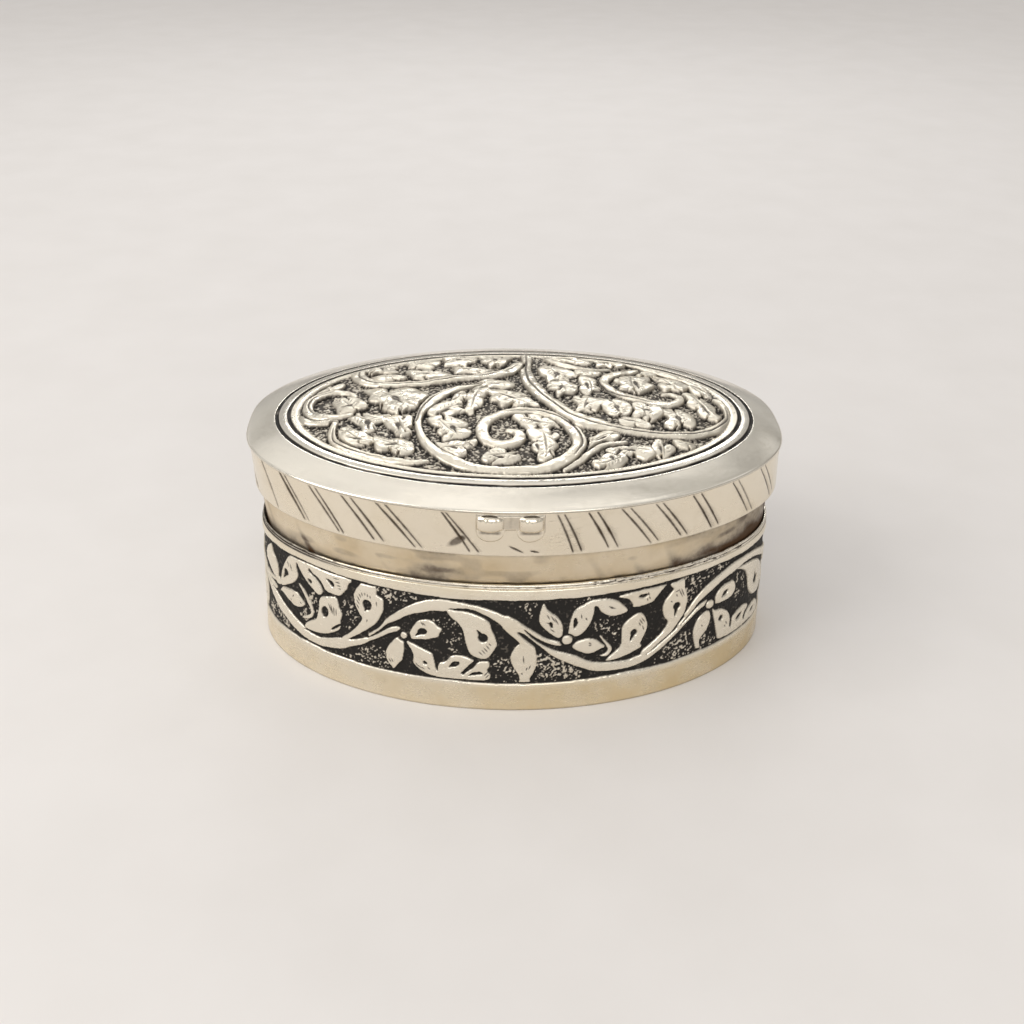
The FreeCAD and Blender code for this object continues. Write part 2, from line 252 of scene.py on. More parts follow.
LEAVES = {
 "P1": [(-15.3, 11.93), (-14.65, 13.35), (-14.1, 14.07), (-12.85, 14.5), (-11.95, 14.25),
        (-11.25, 13.55), (-10.7, 13.2), (-11.0, 12.45), (-11.25, 11.85), (-12.15, 11.5),
        (-12.85, 11.2), (-14.1, 11.05), (-15.1, 11.0)],
 "P2": [(-16.4, 10.4), (-17.3, 10.6), (-18.0, 9.8), (-18.6, 8.9), (-18.95, 7.9), (-19.0, 7.1),
        (-18.7, 6.4), (-18.2, 5.75), (-17.75, 5.25), (-17.15, 6.2), (-16.55, 6.95), (-16.35, 8.0),
        (-16.22, 9.1)],
 "P3": [(-15.85, 10.35), (-14.65, 9.98), (-13.55, 9.5), (-12.15, 8.9), (-11.9, 8.2), (-11.7, 7.3),
        (-11.55, 6.5), (-11.3, 6.0), (-11.2, 5.15), (-12.3, 5.2), (-13.0, 5.45), (-14.1, 6.1),
        (-14.85, 7.0), (-14.75, 8.0), (-15.2, 9.2)],
 "M1": [(-11.6, 5.1), (-11.25, 6.2), (-11.05, 7.3), (-10.4, 7.6), (-9.95, 7.9), (-9.3, 8.75),
        (-8.5, 9.0), (-7.5, 8.95), (-6.6, 8.6), (-6.1, 8.2), (-6.9, 7.3), (-7.6, 6.4), (-7.7, 5.8),
        (-6.9, 5.3), (-6.6, 5.1), (-9, 5.05)],
 "M2": [(-7.7, 5.1), (-7.3, 6.0), (-6.2, 7.0), (-5.55, 7.9), (-4.8, 8.25), (-4.0, 8.2), (-3.85, 7.5),
        (-4.2, 6.9), (-4.0, 6.4), (-3.7, 5.9), (-3.9, 5.3), (-4.8, 5.05)],
 "F": [(-9.95, 16.5), (-9.35, 15.35), (-8.45, 14.6), (-7.75, 13.55), (-7.45, 12.45), (-7.2, 11.2),
       (-6.9, 10.15), (-6.55, 9.45), (-5.7, 8.92), (-4.65, 8.7), (-3.95, 9.1), (-3.4, 9.95),
       (-2.88, 11.2), (-3.2, 12.65), (-3.65, 13.7), (-3.85, 14.6), (-4.2, 15.1), (-4.8, 15.5),
       (-5.7, 15.95), (-7.15, 16.38), (-8.55, 16.5)],
 "G": [(.9, 11.75), (-.1, 10.85), (-.65, 9.95), (-.9, 8.9), (-.62, 7.8), (-.2, 6.9), (.3, 6.05),
       (.45, 5.3), (.35, 4.6), (1.9, 4.6), (1.85, 5.4), (2.35, 6.4), (2.75, 7.65), (2.78, 8.9),
       (2.62, 10.15), (2.3, 11.1), (1.6, 11.6)],
 "Q1": [(3.62, 17.9), (3.1, 15.9), (3.2, 14.7), (3.85, 13.8), (4.8, 12.85), (5.75, 12.15), (6.3, 12.5),
        (6.45, 13.4), (6.25, 14.55), (5.6, 15.7), (4.8, 16.35), (4.1, 17.05)],
 "Q2": [(7.3, 12.55), (7.35, 13.6), (7.5, 14.7), (7.9, 16.1), (8.45, 16.85), (9.5, 17.4), (10.6, 17.5),
        (10.9, 16.5), (10.75, 15.4), (10.4, 14.3), (9.75, 13.2), (9.05, 12.5), (8.1, 12.2)],
 "Q3": [(7.9, 10.35), (8.2, 11.0), (8.85, 11.38), (10, 11.6), (11.15, 11.35), (11.9, 10.7),
        (12.6, 10.0), (11.9, 9.65), (10.95, 9.15), (10, 9.12), (8.85, 9.65)],
 "J": [(16.9, 14.4), (15.95, 13.75), (15.2, 12.8), (15.1, 11.45), (15.15, 10.1), (14.8, 9.35),
       (14.2, 8.75), (13.4, 8.1), (12.8, 7.5), (14.0, 7.45), (15.4, 7.75), (16.9, 8.25), (18.2, 8.85),
       (18.0, 9.4), (18.25, 10.0), (18.6, 10.8), (18.98, 11.85), (18.98, 12.8), (18.55, 13.95),
       (17.9, 14.65)],
 "N": [(9.6, 17.5), (10.8, 17.98), (12.3, 18.0), (13.85, 17.6), (14.6, 17.1), (15.25, 16.45),
       (15.9, 15.5), (15.2, 15.1), (13.85, 14.92), (12.7, 15.3), (11.95, 15.9), (11.55, 16.6),
       (11.1, 17.0), (10.7, 16.7), (9.8, 16.9)],
 "O": [(14.5, 17.95), (16.35, 18.3), (18.25, 18.42), (20.2, 18.45), (21.9, 18.45), (21.4, 17.6),
       (20.6, 16.9), (20, 16.35), (19.2, 16.0), (17.9, 15.82), (16.75, 15.9), (16.6, 16.5),
       (15.9, 17.4)],
 "K": [(24.8, 18.6), (23.6, 18.5), (22.6, 18.3), (23.05, 17.35), (22.3, 16.45), (21.75, 15.7),
       (21.45, 14.75), (21.55, 13.75), (21.9, 12.8), (22.4, 12.05), (22.1, 11.25), (21.55, 10.5),
       (20.75, 9.75), (19.6, 8.9), (18.4, 8.0), (18.2, 7.3), (18.95, 7.3), (21.0, 8.75),
       (23.0, 10.15), (24.3, 11.75), (25.0, 12.8), (25.4, 14.15), (25.5, 15.5), (25.0, 17.05)],
 "R1": [(30.75, 12.9), (31.2, 14.1), (32.25, 14.85), (33.4, 15.0), (34.35, 14.9), (34.85, 14.15),
        (34.9, 13.2), (34.35, 12.4), (33.4, 12.1), (32.25, 12.1), (31.0, 12.25)],
 "R2": [(29.6, 11.6), (28.75, 11.5), (27.8, 10.9), (27.25, 9.95), (26.95, 8.8), (27.05, 7.7),
        (27.3, 6.6), (27.6, 5.6), (28.3, 5.6), (28.05, 6.85), (28.6, 7.6), (29.35, 8.25),
        (29.85, 9.35), (30.0, 10.5)],
 "R3": [(30.4, 11.5), (30.9, 11.1), (32.05, 10.9), (33, 10.3), (33.75, 9.55), (34.15, 8.6),
        (34.3, 7.6), (34.3, 6.7), (35.0, 6.1), (34.6, 5.3), (33.0, 5.35), (31.9, 5.6), (31.6, 6.6),
        (31.4, 7.3), (31.1, 8.6), (30.75, 9.9)],
 "T1": [(34.3, 5.3), (34.8, 6.6), (34.9, 7.9), (35.5, 8.5), (36.25, 8.8), (37.4, 9.0), (38.4, 8.7),
        (38.9, 8.2), (38.2, 7.5), (37.6, 6.7), (38.2, 5.9), (38.8, 5.3), (36.5, 5.2)],
 "T2": [(38.0, 5.3), (38.4, 6.3), (39.2, 7.3), (40.2, 7.6), (41.1, 7.7), (42.1, 7.4), (42.8, 6.7),
        (43.2, 5.8), (42.4, 5.2), (40.2, 5.15)],
 "L": [(35.1, 16.6), (36.3, 16.0), (37.3, 15.15), (38, 13.95), (38.25, 12.8), (38.5, 11.65),
       (38.95, 10.7), (39.8, 9.75), (41.0, 9.2), (42.2, 9.0), (43.4, 9.75), (43.9, 10.9),
       (43.6, 12.4), (42.7, 13.8), (41.7, 14.9), (40.4, 15.75), (38.8, 16.25), (37, 16.5)],
 # left of the middle, one by one rather than by repeat
 "K0": [(-22.5, 18.6), (-23.2, 17.85), (-23.75, 17.1), (-23.92, 16.35), (-23.8, 15.3),
        (-23.6, 14.45), (-23.05, 13.4), (-22.6, 12.65), (-23.05, 11.7), (-23.7, 10.75),
        (-24.4, 9.85), (-25.15, 9.1), (-26.0, 8.3), (-25.6, 7.8), (-24.85, 8.25), (-23.6, 9.45),
        (-22.5, 10.4), (-21.5, 11.3), (-20.65, 12.15), (-20.1, 13.0), (-19.7, 13.9),
        (-19.35, 14.75), (-19.3, 15.8), (-19.45, 16.7), (-20.3, 17.2), (-20.55, 18.5)],
 "O0": [(-31.6, 18.9), (-31.2, 17.7), (-30.2, 17.3), (-29.4, 16.6), (-28.95, 15.75), (-28.5, 15.42),
        (-27.8, 15.35), (-26.3, 15.42), (-25.7, 16.1), (-25.2, 16.7), (-24.9, 17.3), (-24.5, 18.7),
        (-28, 18.95)],
 "N0": [(-34.8, 18.9), (-34.0, 17.9), (-33.3, 16.9), (-32.7, 16.2), (-31.9, 15.4), (-31.0, 14.85),
        (-30.2, 14.3), (-29.6, 14.5), (-29.35, 15.1), (-29.7, 16.0), (-30.4, 16.8), (-31.4, 17.3),
        (-31.9, 17.7), (-31.7, 18.9)],
 "J0": [(-27.8, 14.7), (-28.4, 14.52), (-29.4, 14.15), (-29.9, 13.5), (-30.0, 12.35), (-30.25, 11.1),
        (-30.6, 9.85), (-31.5, 9.2), (-32.5, 8.4), (-33.0, 7.5), (-32.2, 7.3), (-30.4, 7.5),
        (-28.85, 7.95), (-27.8, 8.5), (-26.75, 9.25), (-26.3, 10.0), (-26.3, 10.85), (-26.1, 11.7),
        (-26.0, 12.35), (-26.4, 13.2), (-26.65, 14.25), (-27.0, 14.8)],
 "Q10": [(-39.0, 13.45), (-39.95, 13.1), (-40.8, 13.6), (-41.85, 14.25), (-42.5, 14.85),
         (-42.6, 15.8), (-42.25, 16.85), (-41.5, 17.7), (-40.6, 18.2), (-40.25, 17.2), (-39.45, 16.4),
         (-38.95, 15.6), (-38.8, 14.55)],
 "Q20": [(-38.25, 13.2), (-38.0, 14.05), (-37.65, 15.3), (-37.2, 16.35), (-36.6, 17.4),
         (-35.95, 18.4), (-35.0, 18.9), (-34.3, 18.6), (-34.4, 17.6), (-34.3, 16.85), (-34.1, 15.9),
         (-34.6, 14.85), (-35.5, 13.95), (-36.6, 13.2), (-37.65, 12.5), (-38.1, 12.5)],
 "Q30": [(-38.25, 11.7), (-37.65, 12.25), (-36.6, 12.55), (-35.5, 12.75), (-34.5, 12.75),
         (-33.85, 12.35), (-32.9, 11.5), (-33.1, 11.1), (-33.95, 10.45), (-34.9, 10.2),
         (-35.75, 10.45), (-36.8, 10.85), (-37.65, 11.2), (-38.5, 11.3)],
}
# dark pits: x, y, half length, half width, turn, tail end x, tail end y
EYES = {
 "P1": (-13.5, 12.4, .72, .58, 20, -14.55, 11.5), "P3": (-13.0, 7.05, .32, .22, 10, -13.3, 7.4),
 "M1": (-8.75, 7.5, .72, .45, 35, -9.7, 6.85), "F": (-4.82, 12.25, .7, .78, 25, -5.7, 13.6),
 "J": (16.95, 11.55, .5, .55, 0, 16.4, 10.1), "K": (23.72, 14.4, .62, .62, 0, 23.5, 12.6),
 "R1": (32.75, 13.45, .68, .42, 30, 32.0, 12.95), "R3": (32.15, 9.2, .45, .5, 0, 32.0, 9.7),
 "T1": (36.45, 7.5, .8, .45, 22, 35.7, 7.2), "T2": (40.6, 6.5, .7, .35, 5, 40.1, 6.4),
 "L": (40.75, 12.0, .68, .85, 30, 40.2, 13.6),
 "K0": (-21.8, 15.15, .72, .9, 8, -22.2, 13.95), "J0": (-28.95, 11.75, .66, .95, -8, -29.3, 10.7),
 "Q20": (-36.7, 15.35, .55, .6, -25, -37.45, 14.0), "N0": (-31.65, 16.0, .45, .38, -25, -32.0, 16.2),
 "O0": (-27.6, 17.0, .38, .55, 30, -28.6, 17.65), "O": (18.4, 17.45, .55, .3, 10, 17.5, 17.5),
 "Q2": (8.25, 14.6, .3, .75, 5, 8.1, 13.6), "Q1": (4.8, 14.3, .22, .45, 20, 4.6, 14.9),
}
# dark cuts that part one leaf from the next: strokes
CUTS = [
 [(-33.2, 6.92, .12), (-31.5, 7.05, .42), (-30.2, 7.0, .5), (-28.8, 7.5, .6), (-27.4, 8.1, .7), (-26.3, 8.7, .5)],
 [(-31.6, 17.5, .15), (-30.5, 17.05, .45), (-29.6, 16.35, .55), (-28.95, 15.4, .5), (-27.9, 15.1, .35), (-26.3, 15.15, .4)],
 [(-24.5, 17.95, .3), (-24.62, 17.4, .62), (-24.8, 16.7, .4)],
 [(-23.5, 17.98, .32), (-23.85, 17.45, .6), (-24.05, 16.7, .45)],
 [(-27.8, 9.1, .25), (-27.2, 9.65, .42), (-26.4, 10.35, .35)],
 [(-24.95, 8.35, .08), (-23.6, 9.25, .35), (-22.4, 10.15, .5), (-21.3, 11.0, .65), (-20.3, 12.0, .8), (-19.6, 13.0, .75)],
 [(-21.9, 9.45, .08), (-20.6, 10.5, .3), (-19.5, 11.5, .45), (-18.6, 12.35, .7), (-17.6, 12.95, .8), (-16.6, 13.5, .85), (-15.6, 14.3, .75), (-14.4, 14.85, .6), (-13.2, 15.3, .75), (-12, 15.8, .7), (-10.8, 15.95, .5), (-10.1, 15.75, .3)],
 [(-9.8, 16.7, .08), (-8.4, 16.72, .4), (-7.1, 16.7, .5), (-5.9, 16.38, .62), (-4.7, 15.85, .5), (-3.5, 15.3, .25)],
 [(-5.65, 8.25, .2), (-6.3, 7.6, .62), (-7.0, 6.8, .5), (-7.95, 5.95, .1)],
 [(-6.9, 5.65, .08), (-6.1, 6.05, .5), (-5.3, 6.2, .55), (-4.9, 6.2, .3)],
 [(-.15, 13.45, .08), (.7, 12.7, .35), (1.5, 11.95, .4), (2.2, 11.35, .45), (2.8, 10.9, .6)],
 [(.9, 13.85, .08), (2.3, 12.35, .42), (3.85, 11.2, .5), (5.3, 10.4, .55), (6.5, 9.95, .6), (8.1, 9.55, .6), (9.6, 8.6, .8), (11.4, 8.05, .9), (12.6, 7.85, .7), (12.95, 7.85, .3)],
 [(14.0, 17.62, .15), (15.0, 17.35, .5), (15.8, 16.7, .55), (16.3, 15.9, .5), (16.5, 15.4, .4)],
 [(21.75, 18.15, .35), (21.2, 17.5, .42), (20.6, 16.9, .3), (20.0, 16.4, .12)],
 [(23.0, 17.4, .25), (22.3, 16.9, .5), (21.6, 16.3, .6), (21.1, 15.7, .6)],
 [(18.9, 7.25, .08), (20.2, 8.0, .2), (21.2, 8.75, .26), (23.1, 10.05, .3), (24.2, 11.25, .35), (25.0, 12.1, .45)],
 [(24.4, 10.75, .08), (25.6, 11.75, .25), (26.8, 12.75, .4), (27.8, 13.6, .6), (29, 14.05, .7), (30.2, 14.4, .7), (31.0, 15.0, .5)],
 [(35.4, 16.6, .1), (36.6, 16.75, .32), (38.4, 16.6, .42), (40.1, 16.1, .5), (41.9, 15.2, .6), (43.2, 14.2, .6)],
 [(34.5, 8.3, .3), (34.6, 7.4, .35), (34.4, 6.7, .2)],
 [(-11.45, 7.9, .5), (-11.4, 7.0, .4), (-11.3, 6.1, .15)],
]
FLOWERS = [(-16.25, 11.25, 1.06, .5), (7.1, 11.7, 1.1, .74), (29.8, 12.6, 1.1, .7)]
HOOK = [(11.9, 11.8, .16), (12.5, 10.9, .28), (13.0, 10.2, .4), (13.4, 9.45, .55), (13.1, 8.75, .5), (12.4, 8.35, .4), (11.3, 8.4, .12)]
HOOK0 = [(-33.85, 14.5, .2), (-32.9, 13.6, .5), (-32.05, 12.4, .6), (-31.5, 11.4, .5), (-31.45, 10.3, .45), (-32.2, 9.5, .5), (-33.3, 9.0, .3)]
HATCH = [
 ((-23.5, 15.0), (-23.0, 14.2)), ((-23.45, 15.7), (-22.9, 15.0)), ((-23.3, 16.3), (-22.85, 15.6)),
 ((-23.0, 16.8), (-22.7, 16.2)), ((-22.6, 17.1), (-22.45, 16.5)), ((-22.1, 17.2), (-22.05, 16.7)),
 ((-21.7, 17.1), (-21.65, 16.5)), ((-21.3, 16.9), (-21.2, 16.4)), ((-20.3, 16.2), (-20.25, 15.4)),
 ((-21.75, 12.8), (-21.85, 12.3)),
 ((-28.2, 13.6), (-27.6, 12.0)), ((-27.8, 13.5), (-27.4, 11.8)), ((-27.3, 13.3), (-27.2, 11.7)),
 ((-26.9, 13.0), (-26.85, 11.8)),
 ((-27.3, 18.15), (-26.3, 18.15)), ((-27.0, 17.6), (-26.0, 17.6)), ((-26.7, 17.1), (-25.9, 17.1)),
 ((-26.4, 16.65), (-25.9, 16.6)),
 ((-13.7, 14.1), (-13.3, 13.5)), ((-13.4, 14.0), (-12.95, 13.5)),
 ((-19.0, 7.9), (-18.85, 7.0)), ((-18.5, 6.9), (-18.1, 6.3)), ((-18.1, 7.0), (-17.8, 6.4)),
 ((-14.5, 7.0), (-14.0, 6.4)), ((-14.2, 6.7), (-13.6, 6.2)), ((-13.6, 6.4), (-13.1, 6.1)),
 ((-12.7, 6.5), (-12.3, 6.2)),
 ((-5.0, 10.3), (-4.4, 9.6)), ((-4.7, 10.7), (-4.1, 9.95)), ((-4.35, 11.1), (-3.8, 10.35)),
 ((-4.0, 11.5), (-3.65, 11.0)), ((-5.4, 10.0), (-4.8, 9.4)),
 ((-4.6, 5.9), (-4.0, 6.6)), ((-4.4, 5.5), (-3.9, 6.1)),
 ((1.3, 6.9), (1.5, 7.5)), ((1.7, 7.1), (1.95, 7.8)), ((.7, 6.5), (.8, 6.2)), ((.9, 9.4), (1.0, 8.0)),
 ((4.1, 16.2), (4.6, 15.3)), ((4.7, 16.0), (5.3, 14.9)), ((5.2, 15.6), (5.8, 14.4)),
 ((4.0, 14.9), (4.9, 14.6)), ((4.6, 13.8), (5.3, 13.2)),
 ((9.6, 15.3), (9.9, 14.8)), ((9.0, 15.9), (9.1, 15.1)),
 ((10.2, 11.0), (10.6, 10.7)), ((10.2, 10.6), (10.6, 10.4)),
 ((17.7, 13.7), (18.3, 12.7)), ((18.0, 13.9), (18.65, 12.9)), ((17.6, 13.2), (18.0, 12.4)),
 ((18.2, 12.5), (18.5, 11.6)),
 ((18.9, 18.0), (19.15, 17.3)), ((19.1, 17.2), (19.3, 16.7)), ((18.8, 17.0), (18.9, 16.5)),
 ((23.3, 16.9), (24.1, 17.1)), ((23.9, 17.2), (24.6, 15.7)), ((24.3, 17.2), (24.9, 15.8)),
 ((23.5, 16.5), (23.7, 16.0)), ((22.6, 15.6), (22.9, 15.3)),
 ((13.0, 16.7), (13.8, 16.3)), ((13.2, 16.4), (14.1, 16.2)),
 ((33.0, 7.6), (33.3, 7.1)), ((33.2, 8.2), (33.6, 7.5)), ((28.3, 9.6), (28.5, 9.2)),
 ((-36.2, 17.6), (-35.8, 16.6)), ((-35.6, 17.4), (-35.2, 16.3)), ((-35.0, 12.2), (-35.4, 11.6)),
 ((-35.8, 11.2), (-35.6, 10.8)), ((-33.8, 11.5), (-33.4, 11.3)),
]
# ground that was beaten rough, so flecks of bright metal show: outline, density
ROUGH = [
 ([(-19.8, 18.4), (-14.2, 18.2), (-15.8, 16.9), (-18.9, 16.0), (-19.2, 17.2)], .55),
 ([(-25.8, 5.2), (-22.2, 7.6), (-19.6, 8.2), (-19.3, 6.4), (-18.3, 4.9)], .42),
 ([(-31.0, 14.2), (-30.4, 12.0), (-31.0, 9.8), (-32.6, 8.2), (-34.0, 9.0), (-32.6, 10.8), (-32.4, 13.0)], .28),
 ([(-25.9, 14.6), (-24.0, 14.0), (-23.3, 12.6), (-25.3, 9.8), (-25.8, 11.6)], .22),
 ([(-12.0, 15.2), (-9.0, 15.0), (-8.0, 13.0), (-8.0, 10.4), (-9.4, 9.6), (-10.6, 12.6)], .16),
 ([(-3.0, 8.9), (-.9, 8.4), (-.3, 6.6), (-.2, 5.0), (-2.2, 5.0), (-3.4, 6.4)], .3),
 ([(3.2, 9.4), (6.4, 8.2), (9.6, 6.2), (8.0, 4.9), (3.4, 4.9), (2.8, 7.0)], .55),
 ([(11.2, 15.0), (13.6, 14.6), (14.7, 12.8), (14.2, 10.6), (12.8, 12.0), (11.0, 12.4)], .2),
 ([(2.4, 18.1), (.2, 17.2), (2.2, 15.3), (3.0, 14.2), (2.7, 16.2)], .16),
 ([(8.4, 18.1), (10.4, 18.2), (9.6, 17.8), (8.4, 17.2)], .6),
 ([(25.4, 18.7), (33.0, 18.7), (29.6, 17.4), (26.8, 15.6), (25.8, 14.2)], .38),
 ([(20.4, 5.6), (23.6, 8.2), (26.4, 9.0), (26.8, 6.4), (27.2, 5.2), (22.6, 5.2)], .5),
 ([(28.6, 6.8), (29.6, 7.6), (30.6, 6.6), (31.3, 5.3), (28.8, 5.2)], .35),
 ([(35.6, 15.6), (37.2, 14.0), (37.6, 11.4), (36.0, 10.4), (35.2, 12.6)], .14),
 ([(-43.0, 5.3), (-40.6, 8.2), (-37.0, 6.4), (-36.0, 5.3)], .6),
]


def frieze_maps(step):
    """Coverage maps of the front of the frieze and of one plain repeat."""
    out = []
    for lo, hi, own in ((-46.2, 46.2, True), (-24.0, 32.0, False)):
        cv = Canvas(lo - 1.0, hi + 1.0, FIELD_LOW - 1.2, FIELD_HIGH + 1.2, step)
        metal, hatch, rough = cv.blank(), cv.blank(), cv.blank()
        shifts = (-REPEAT, 0.0, REPEAT)
        right_only = ("R1", "R2", "R3", "T1", "T2", "L")
        left_only = tuple(k for k in LEAVES if k.endswith("0"))
        for dx in shifts:
            def moved(pts):
                return [(p[0] + dx,) + tuple(p[1:]) for p in pts]

            def wanted(key, x):
                """True if this leaf belongs at this shift."""
                if key in left_only:
                    return own and dx == 0
                if key in right_only:
                    return own and dx == 0
                if own and dx < 0 and x > -43.4:
                    return False
                if own and dx > 0 and x < 45.2:
                    return False
                return True

            if not (own and dx != 0):
                cv.stroke(metal, moved(VINE_A))
                cv.stroke(metal, moved(STALK_B))
            elif dx < 0:
                cv.stroke(metal, moved([p for p in VINE_A if p[0] < 4.5]))
            else:
                cv.stroke(metal, moved([p for p in VINE_A if p[0] > 1.0]))
            if own and dx == 0:
                cv.stroke(metal, VINE_A_NEXT)
                cv.stroke(metal, VINE_LEFT)
                cv.stroke(metal, STALK_E)
                cv.stroke(metal, HOOK0)
                cv.stroke(metal, [(-46.0, 13.9, .5), (-44.2, 12.9, .6), (-42.4, 12.55, .6), (-40.9, 12.5, .6), (-39.7, 12.6, .6)])
            cv.stroke(metal, moved(STALK_C))
            cv.stroke(metal, moved(STALK_G))
            if not own or dx >= 0:
                cv.stroke(metal, moved(HOOK))
            for key, pts in LEAVES.items():
                x = sum(p[0] for p in pts) / len(pts) + dx
                if wanted(key, x):
                    cv.blob(metal, moved(pts))
            for pts in CUTS:
                x = sum(p[0] for p in pts) / len(pts)
                if own and ((dx < 0 and x + dx > -43) or (dx > 0 and x + dx < 45)):
                    continue
                if not own and (x < -25 or x > 33):
                    continue
                cv.stroke(metal, moved(pts), 0.0)
            for key, (x, y, a, b, turn, tx, ty) in EYES.items():
                if wanted(key, x + dx):
                    cv.disc(metal, x + dx, y, a, 0.0, b, turn)
                    cv.stroke(metal, [(x + dx, y, min(a, b) * 1.3), ((x + tx) / 2 + dx, (y + ty) / 2, .5),
                                      (tx + dx, ty, .1)], 0.0)
            for x, y, ro, ri in FLOWERS:
                if own and ((dx < 0 and x + dx > -44) or (dx > 0 and x + dx < 45)):
                    if not (dx < 0 and abs(x - 7.1) < 1):
                        continue
                cv.disc(metal, x + dx, y + (1.1 if own and dx < 0 else 0), ro, 0.0)
                cv.disc(metal, x + dx, y + (1.1 if own and dx < 0 else 0), ri, 1.0)
            for (ax, ay), (bx, by) in HATCH:
                if own and dx != 0 and (-43 < ax + dx < 45):
                    continue
                if not own and (ax < -24 or ax > 30):
                    continue
                mx, my = (ax + bx) / 2, (ay + by) / 2
                cv.stroke(hatch, [(ax + dx, ay, .08), (mx + dx, my, .2), (bx + dx, by, .06)])
            for pts, much in ROUGH:
                x = sum(p[0] for p in pts) / len(pts)
                if own and ((dx < 0 and x + dx > -43) or (dx > 0 and x + dx < 45)):
                    continue
                if not own and (x < -25 or x > 33):
                    continue
                cv.blob(rough, moved(pts), much, soft=.5)
        # the border lines and the plain bands beyond them
        xs = cv.x0 + cv.step * np.arange(cv.nx)
        ys = (cv.y0 + cv.step * np.arange(cv.ny))[:, None]
        if own:
            high = np.interp(xs, [p[0] for p in BORDER_HIGH], [p[1] for p in BORDER_HIGH])
            low = np.interp(xs, [p[0] for p in BORDER_LOW], [p[1] for p in BORDER_LOW])
        else:
            high, low = 18.62 + 0 * xs, 4.85 + 0 * xs
        rng = np.random.default_rng(11)
        wob = np.interp(xs, np.linspace(xs[0], xs[-1], 60), rng.uniform(-1, 1, 60))
        wide = .17 + .05 * wob
        line_h = np.clip((wide - abs(ys - high)) / step + .5, 0, 1)
        line_l = np.clip((wide + .02 - abs(ys - low)) / step + .5, 0, 1)
        band = np.clip((ys - high) / step + .5, 0, 1) + np.clip((low - ys) / step + .5, 0, 1)
        metal = np.maximum(metal * (1 - band), band)
        metal = metal * (1 - line_h) * (1 - line_l * .96)
        rough = rough * (1 - band)
        out.append((cv, metal.astype(np.float32), hatch, rough.astype(np.float32)))
    return out


# ---------------------------------------------------------------- lid panel
# Drawn flat from above: x along the lid, y towards its back.
PANEL_A, PANEL_B = 33.4, 20.6

BANDS = [   # closed outlines of the broad ribbons
 [(2.6, 20.4), (3.2, 18.2), (3, 15.4), (2.9, 12.7), (3.2, 9.9), (3.7, 7.1), (4.6, 4.3), (5.7, 1.6),
  (7.1, -.4), (8.2, -2.6), (10.1, -4.3), (12.9, -5.9), (14.6, -7.1), (16, -7.6), (19.3, -8.3),
  (21, -8.5), (23.8, -8.2), (26, -7.9), (28.2, -6.5), (30.2, -4.8), (31.1, -3.2), (31.4, -1.2),
  (31, 1), (30.2, 2.9), (31.6, 2.6), (32.6, .2), (32.7, -3.0), (31.6, -5.6), (30.4, -7.1), (28.2, -8.6),
  (26, -9.7), (23.8, -10.1), (21, -9.9), (18.2, -9.7), (15.2, -9.1), (12.7, -8.5), (9, -7.6),
  (7.9, -5.9), (6.2, -3.7), (4.6, -.9), (3.2, 1.6), (2.1, 4.3), (1.4, 7.1), (1.1, 9.9), (1.2, 12.7),
  (1.6, 16.8), (1.4, 20.4)],
 [(1.7, 15.6), (.4, 15.5), (-.4, 14.2), (-1.3, 12.6), (-2.9, 11.1), (-4.9, 10.4), (-7.7, 10.1),
  (-10.2, 9.4), (-13, 8.4), (-16, 8.0), (-19.4, 8.1), (-22.0, 9.3), (-23.2, 11.2), (-23.4, 13.4),
  (-24.3, 14.8), (-25.3, 13.6), (-25.4, 10.6), (-23.6, 7.7), (-20.2, 6.3), (-15.4, 6.4),
  (-12, 6.9), (-8, 8.2), (-5.2, 8.7), (-2.4, 9.2), (-.3, 10.6), (1.1, 12.6)],
]
